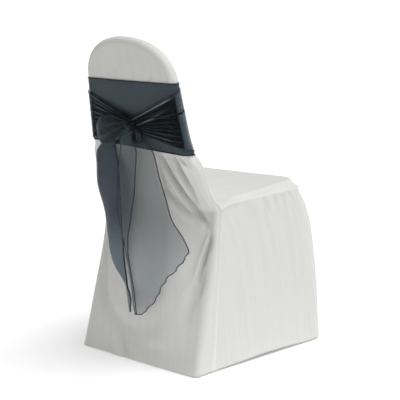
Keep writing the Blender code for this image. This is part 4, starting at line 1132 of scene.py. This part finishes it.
CURL_RADIUS, CURL_WIDTH, CURL_DROP, CURL_SIDE = 0.0180, 0.016, 0.0300, -0.024
CURL_LEAN, CURL_SHINE = 0.2, 0.12
CURL_STEPS, CURL_CELLS, CURL_TURN, CURL_GROWS = 44, 6, (95.0, 435.0), (0.85, 1.05)


def curl_cell(i, j):
    turn = mix(*(math.radians(end) for end in CURL_TURN), i / CURL_STEPS)
    radius = CURL_RADIUS * mix(*CURL_GROWS, i / CURL_STEPS)
    across, up = radius * math.cos(turn), radius * math.sin(turn)
    along = CURL_WIDTH * (j / CURL_CELLS - 0.5)
    _, y, z = hood_point(KNOT_HEIGHT, 0.0, SASH_CLEAR + KNOT_STANDS)
    return KNOT_X + CURL_SIDE + across, y + along - CURL_LEAN * up, z + up - CURL_DROP


curl_mesh, curl_spots = lay_cloth("curl", CURL_STEPS, CURL_CELLS, curl_cell, finish=lambda i, j: DENSE_SHADED,
                                  shine=lambda i, j: CURL_SHINE)
add_long_edges(curl_spots, CURL_STEPS, CURL_CELLS)

# %% [markdown]
# Each tail is a length of the strip with its left edge folded over to the outside, so it is dark
# where it is double and lighter where it is single. Its short end is cut straight across the strip,
# and as the tail hangs folded, that end runs slanting to a point.

# %% The tails
TailRow = namedtuple("TailRow", "height left lap right depth")
TAIL_LEFT = curves((
    TailRow(0.680, 0.016, 0.004, 0.002, 0.2620),
    TailRow(0.650, 0.072, 0.036, 0.034, 0.2535),
    TailRow(0.620, 0.128, 0.074, 0.077, 0.2475),
    TailRow(0.581, 0.147, 0.065, 0.069, 0.2480),
    TailRow(0.520, 0.148, 0.056, 0.060, 0.2480),
    TailRow(0.418, 0.123, 0.051, 0.055, 0.2480),
    TailRow(0.367, 0.111, 0.049, 0.053, 0.2480),
    TailRow(0.318, 0.098, 0.048, 0.051, 0.2475),
    TailRow(0.269, 0.078, 0.044, 0.047, 0.2475),
    TailRow(0.236, 0.058, 0.038, 0.041, 0.2470),
    TailRow(0.212, 0.043, 0.034, 0.036, 0.2470),
    TailRow(0.198, 0.038, 0.020, 0.024, 0.2470),
    TailRow(0.178, 0.032, 0.013, 0.017, 0.2470),
    TailRow(0.145, 0.024, 0.017, 0.020, 0.2470),
))
TAIL_RIGHT = curves((
    TailRow(0.682, 0.004, -0.008, -0.018, 0.2700),
    TailRow(0.650, 0.032, -0.014, -0.046, 0.2640),
    TailRow(0.612, 0.045, -0.023, -0.082, 0.2600),
    TailRow(0.551, 0.052, -0.017, -0.102, 0.2590),
    TailRow(0.493, 0.057, -0.009, -0.125, 0.2585),
    TailRow(0.444, 0.057, 0.003, -0.145, 0.2580),
    TailRow(0.402, 0.052, 0.010, -0.179, 0.2575),
    TailRow(0.357, 0.040, 0.018, -0.208, 0.2570),
    TailRow(0.317, 0.030, 0.018, -0.178, 0.2565),
    TailRow(0.267, 0.014, 0.006, -0.127, 0.2560),
    TailRow(0.208, 0.002, -0.006, -0.088, 0.2555),
    TailRow(0.175, -0.001, -0.009, -0.060, 0.2550),
    TailRow(0.144, -0.006, -0.012, -0.024, 0.2545),
))
LAP_COLUMNS, FOLD_COLUMNS, FLAT_COLUMNS, TAIL_ROWS = 8, 6, 30, 110
TAIL_COLUMNS = LAP_COLUMNS + FOLD_COLUMNS + FLAT_COLUMNS
LAP_SPREAD, LAP_LEAST = 0.0044, 0.0010
TAIL_WAVES = Ripple(0.0030, 60.0, 9.0, 0.0), Ripple(0.0022, 95.0, -5.0, 1.0)
WAVES_FROM, WAVES_OVER = 0.60, 0.2
TOP_FOLDS, TOP_FOLDS_FROM, TOP_FOLDS_OVER, TOP_FOLDS_EDGE = Ripple(0.0035, 230.0, 20.0, 0.0), 0.50, 0.12, 0.01
INNER_SHRINK, INNER_DEPTH = 0.003, 0.0015       # the left tail's inner layers are a little smaller
TAIL_LIGHTER = 0.55     # how far up its length a tail starts to be lighter
TailTone = namedtuple("TailTone", "top rise over")
LEFT_TONE, RIGHT_TONE = TailTone(0.04, 0.92, 0.28), TailTone(0.06, 0.88, 0.40)
EDGE_WAVES = (0.0030, 0.0340, 1.0), (0.0016, 0.0125, 0.0)       # height, length and start of a wave
EDGE_CALM_LOW, EDGE_CALM_HIGH = 0.02, 0.015
SHORT_END = 0.357       # height of the corner where the right tail's long edge meets its short end
LONG_EDGE = curves([TailRow(*(TAIL_RIGHT[name](height) for name in TailRow._fields))
                    for height in TAIL_RIGHT["height"].xs if height >= SHORT_END])["right"]


def short_edge(height):
    """The right tail's short end: nearly straight from its corner to its point, with small waves."""
    rows = [(z, TAIL_RIGHT["right"](z)) for z in TAIL_RIGHT["height"].xs if z <= SHORT_END]
    k = max(i for i, (z, _) in enumerate(rows[:-1]) if z <= height)
    (low, start), (high, end) = rows[k], rows[k + 1]
    waves = sum(rise * math.sin(2 * math.pi * height / long + begin) for rise, long, begin in EDGE_WAVES)
    calm = smooth((height - rows[0][0]) / EDGE_CALM_LOW) * smooth((SHORT_END - height) / EDGE_CALM_HIGH)
    return mix(start, end, (height - low) / (high - low)) + waves * calm


def tail_shine(tone):
    """A tail is lighter lower down."""
    return lambda i, j: tone.top + tone.rise * smooth((TAIL_LIGHTER - j / TAIL_ROWS) / tone.over)


def tail_cells(table, shrink=0.0, depth_in=0.0):
    """The place function of one tail."""
    top, bottom = table["height"].xs[-1], table["height"].xs[0]

    def place(i, j):
        height = mix(bottom, top, j / TAIL_ROWS)
        left, lap, right, depth = (table[name](height) for name in ("left", "lap", "right", "depth"))
        left, depth = left - shrink, depth - depth_in
        if table is TAIL_RIGHT:
            right = LONG_EDGE(height) if height >= SHORT_END else short_edge(height)
        radius = min(LAP_SPREAD / 2, (left - right) / 4)
        fold_x = left - radius
        if i < LAP_COLUMNS:
            x, off = mix(min(lap, fold_x - LAP_LEAST), fold_x, i / LAP_COLUMNS), 2 * radius
        elif i <= LAP_COLUMNS + FOLD_COLUMNS:
            turn = (i - LAP_COLUMNS) / FOLD_COLUMNS * math.pi
            x, off = fold_x + radius * math.sin(turn), radius * (1 + math.cos(turn))
        else:
            x, off = mix(fold_x, right, (i - LAP_COLUMNS - FOLD_COLUMNS) / FLAT_COLUMNS), 0.0
        waves = ripple_at(TAIL_WAVES, x, height) * smooth((WAVES_FROM - height) / WAVES_OVER)
        top_folds = ripple_at([TOP_FOLDS], x, height) * smooth((height - TOP_FOLDS_FROM) / TOP_FOLDS_OVER)
        return x, depth + off + waves + top_folds * smooth((x - right) / TOP_FOLDS_EDGE), height
    return place


tail_meshes = []
for title, table, material, tone in (("tail_left", TAIL_LEFT, FOLDED, LEFT_TONE),
                                     ("tail_right", TAIL_RIGHT, ORGANZA, RIGHT_TONE)):
    tail_mesh, tail_spots = lay_cloth(title, TAIL_COLUMNS, TAIL_ROWS, tail_cells(table),
                                      shine=tail_shine(tone), finish=lambda i, j: material)
    tail_meshes.append(tail_mesh)
    if table is TAIL_LEFT:      # this tail is folded twice more, so it is dark all over
        inner_mesh, _ = lay_cloth("tail_left_inner", TAIL_COLUMNS, TAIL_ROWS,
                                  tail_cells(table, INNER_SHRINK, INNER_DEPTH), finish=lambda i, j: FOLDED)
        tail_meshes.append(inner_mesh)
    rows = range(TAIL_ROWS + 1)
    add_edge(tail_spots, [(0, j) for j in reversed(rows)] + [(i, 0) for i in range(1, TAIL_COLUMNS)]
             + [(TAIL_COLUMNS, j) for j in rows])
    if table is TAIL_RIGHT:     # the strip's other edge is turned in along this tail's fold
        add_edge(tail_spots, [(LAP_COLUMNS + FOLD_COLUMNS // 2, j) for j in rows])

# %% Join the sash into one sheet
sash_sheet = make_piece("sash_organza",
                        [pass_mesh, round_mesh, layer_mesh, loop_mesh, curl_mesh, *tail_meshes],
                        ORGANZA_THICKNESS, [organza, dense_shaded_organza, folded_organza])
print("the sash has", len(sash_sheet.data.polygons), "faces")

# %% [markdown]
# The knot is the strip pulled tight round itself. It is a rounded form with slanting folds, made
# from an icosphere, since a sphere's even faces take folds in any direction.

# %% The knot
KNOT_SLANT, KNOT_OUT = (0.6, 0.8), 1.1
KNOT_FOLDS, KNOT_FINE_FOLDS, KNOT_BEND = (0.09, 9.0), (0.03, 21.0), 1.5       # depth and closeness
KNOT_WAIST, WAIST_TILT, WAIST_WIDE = 0.18, 0.5, 0.35


def make_knot():
    """The knot, with the strip's folds slanting round it."""
    bm = bmesh.new()
    bmesh.ops.create_icosphere(bm, subdivisions=5, radius=1.0)
    cut = bm.loops.layers.uv.new("cut")
    _, middle_y, _ = hood_point(KNOT_HEIGHT, 0.0, SASH_CLEAR + KNOT_OUT * KNOT_STANDS)
    for vert in bm.verts:
        x, y, z = vert.co
        slant = KNOT_SLANT[0] * x + KNOT_SLANT[1] * z
        fold = (1.0 + KNOT_FOLDS[0] * math.cos(KNOT_FOLDS[1] * slant + KNOT_BEND * x * y)
                + KNOT_FINE_FOLDS[0] * math.cos(KNOT_FINE_FOLDS[1] * slant))
        waist = 1.0 - KNOT_WAIST * hill(x + WAIST_TILT * z, WAIST_WIDE)
        vert.co = to_frame((KNOT_X + x * KNOT_PULLED[0] * fold * waist, middle_y + y * KNOT_PULLED[1] * fold,
                            KNOT_HEIGHT + z * KNOT_PULLED[2] * fold * waist))
    for face in bm.faces:
        face.smooth = True
        for loop in face.loops:
            loop[cut].uv = (loop.vert.co.x, loop.vert.co.z)
    mesh = bpy.data.meshes.new("knot")
    bm.to_mesh(mesh)
    bm.free()
    return make_piece("sash_knot", [mesh], 0.0, [knot_organza])


sash_knot = make_knot()
print("the knot has", len(sash_knot.data.polygons), "faces")

# %% [markdown]
# The merrowed edge is a line of close thread round every free edge. It follows the sheets' own edge
# points, as a curve with a round section that is then made a mesh.

# %% The merrowed edge
MERROW_RADIUS = 0.0014
MERROW_STEP = 1.2       # the least step between two points of the line, in radii


def make_tubes(name, lines, radius, material):
    """Thin tubes along lines of points, as one mesh."""
    data = bpy.data.curves.new(name, "CURVE")
    data.dimensions = "3D"
    data.bevel_depth = radius
    data.bevel_resolution = 1
    data.use_fill_caps = True
    for line in lines:
        spaced = [line[0]]
        for point in line[1:]:
            if (point - spaced[-1]).length > MERROW_STEP * radius:
                spaced.append(point)
        spline = data.splines.new("POLY")
        spline.points.add(len(spaced) - 1)
        for at, point in zip(spline.points, spaced):
            at.co = (*point, 1.0)
    holder = bpy.data.objects.new(name + "_curve", data)
    bpy.context.scene.collection.objects.link(holder)
    bpy.context.view_layer.update()
    mesh = bpy.data.meshes.new_from_object(holder.evaluated_get(bpy.context.evaluated_depsgraph_get()))
    bpy.data.objects.remove(holder)
    bpy.data.curves.remove(data)
    mesh.materials.clear()
    piece = make_piece(name, [mesh], 0.0, [material])
    piece.data.polygons.foreach_set("use_smooth", [True] * len(piece.data.polygons))
    return piece


sash_edge = make_tubes("sash_merrowed_edge", merrow_lines, MERROW_RADIUS, merrow_thread)
print("the merrowed edge has", len(sash_edge.data.polygons), "faces in", len(merrow_lines), "lines")

# %% [markdown]
# ## What each piece is
#
# Each piece rides on the one body and stands for its CAD node, which is hidden.

for piece, node, slot in ((outer_back_cloth, "outer_back", "polyester"),
                          (inner_back_cloth, "inner_back", "polyester"),
                          (seat_cloth, "seat_panel", "polyester"), (skirt_cloth, "skirt", "polyester"),
                          (sash_sheet, "sash", "organza"), (sash_knot, "sash", "organza"),
                          (sash_edge, "sash", "organza")):
    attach(piece, "root")
    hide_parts(node)

# %% [markdown]
# ## Floor, light and camera
#
# The studio is plain: a pale floor, a white surround, and one large soft light from above and from
# the near side, so that the seat and the side are bright and the back is a little darker.

# %% The studio
floor_material, floor_shader = new_material("matt white studio floor", Base_Color=linear("#F4F4F4"),
                                            Roughness=0.9, Emission_Color=linear("#FFFFFF"),
                                            Emission_Strength=0.26)
floor_spot = add_node(floor_material, "ShaderNodeTexCoord").outputs["Object"]
floor_grain = add_node(floor_material, "ShaderNodeTexNoise", {"Scale": 300.0}, {"Vector": floor_spot})
floor_bump = add_node(floor_material, "ShaderNodeBump", {"Strength": 0.05, "Distance": 0.0005},
                      {"Height": floor_grain.outputs["Fac"]})
floor_material.node_tree.links.new(floor_bump.outputs["Normal"], floor_shader.inputs["Normal"])
FLOOR_SIZE = 30.0
floor_bm = bmesh.new()
bmesh.ops.create_grid(floor_bm, x_segments=2, y_segments=2, size=FLOOR_SIZE / 2)
bmesh.ops.translate(floor_bm, verts=floor_bm.verts, vec=(0.0, 0.0, -SEAT_ORIGIN))
floor_mesh = bpy.data.meshes.new("studio_floor")
floor_bm.to_mesh(floor_mesh)
floor_bm.free()
floor = make_piece("studio_floor", [floor_mesh], 0.0, [floor_material])

scene = bpy.context.scene
world = bpy.data.worlds.new("white studio")
world.use_nodes = True
scene.world = world
surround = world.node_tree.nodes["Background"]
surround.inputs["Color"].default_value = (1.0, 1.0, 1.0, 1.0)
surround.inputs["Strength"].default_value = 0.18
seen = add_node(world, "ShaderNodeBackground", {"Color": (1.0, 1.0, 1.0, 1.0), "Strength": 1.0})
path = add_node(world, "ShaderNodeLightPath")
both = add_node(world, "ShaderNodeMixShader", links={"Fac": path.outputs["Is Camera Ray"]})
world.node_tree.links.new(surround.outputs["Background"], both.inputs[1])
world.node_tree.links.new(seen.outputs["Background"], both.inputs[2])
world.node_tree.links.new(both.outputs["Shader"], world.node_tree.nodes["World Output"].inputs["Surface"])

KEY_FROM = Vector((-0.32, -0.12, 0.94))
KEY_STRENGTH, KEY_SOFTNESS = 2.65, math.radians(52.0)
key = bpy.data.lights.new("soft key", "SUN")
key.energy = KEY_STRENGTH
key.angle = KEY_SOFTNESS
key_light = bpy.data.objects.new("soft key", key)
key_light.rotation_euler = KEY_FROM.to_track_quat("Z", "Y").to_euler()
scene.collection.objects.link(key_light)
scene.view_settings.view_transform = "Standard"
scene.cycles.transparent_max_bounces = 32
print("lit by", key.name, "and a white surround")

# %% The camera
TARGET = Vector((0.0, 0.0, -0.027))
VIEW_FROM = Vector((-0.65547, 0.72797, 0.20108))
VIEW_DISTANCE = 4.07
camera_data = bpy.data.cameras.new("camera")
camera_data.lens = 126.09
camera_data.sensor_width = 36.0
camera_data.shift_x, camera_data.shift_y = 0.0125, -0.025
camera = bpy.data.objects.new("camera", camera_data)
camera.location = TARGET + VIEW_DISTANCE * VIEW_FROM
camera.rotation_euler = VIEW_FROM.to_track_quat("Z", "Y").to_euler()
scene.collection.objects.link(camera)
scene.camera = camera
print("the camera is at", tuple(round(c, 3) for c in camera.location))

# %% [markdown]
# ## Sizes
#
# The visual model has to stay inside the CAD model's box, apart from a little that fabric may stand
# proud.

# %% Finish
bpy.context.view_layer.update()
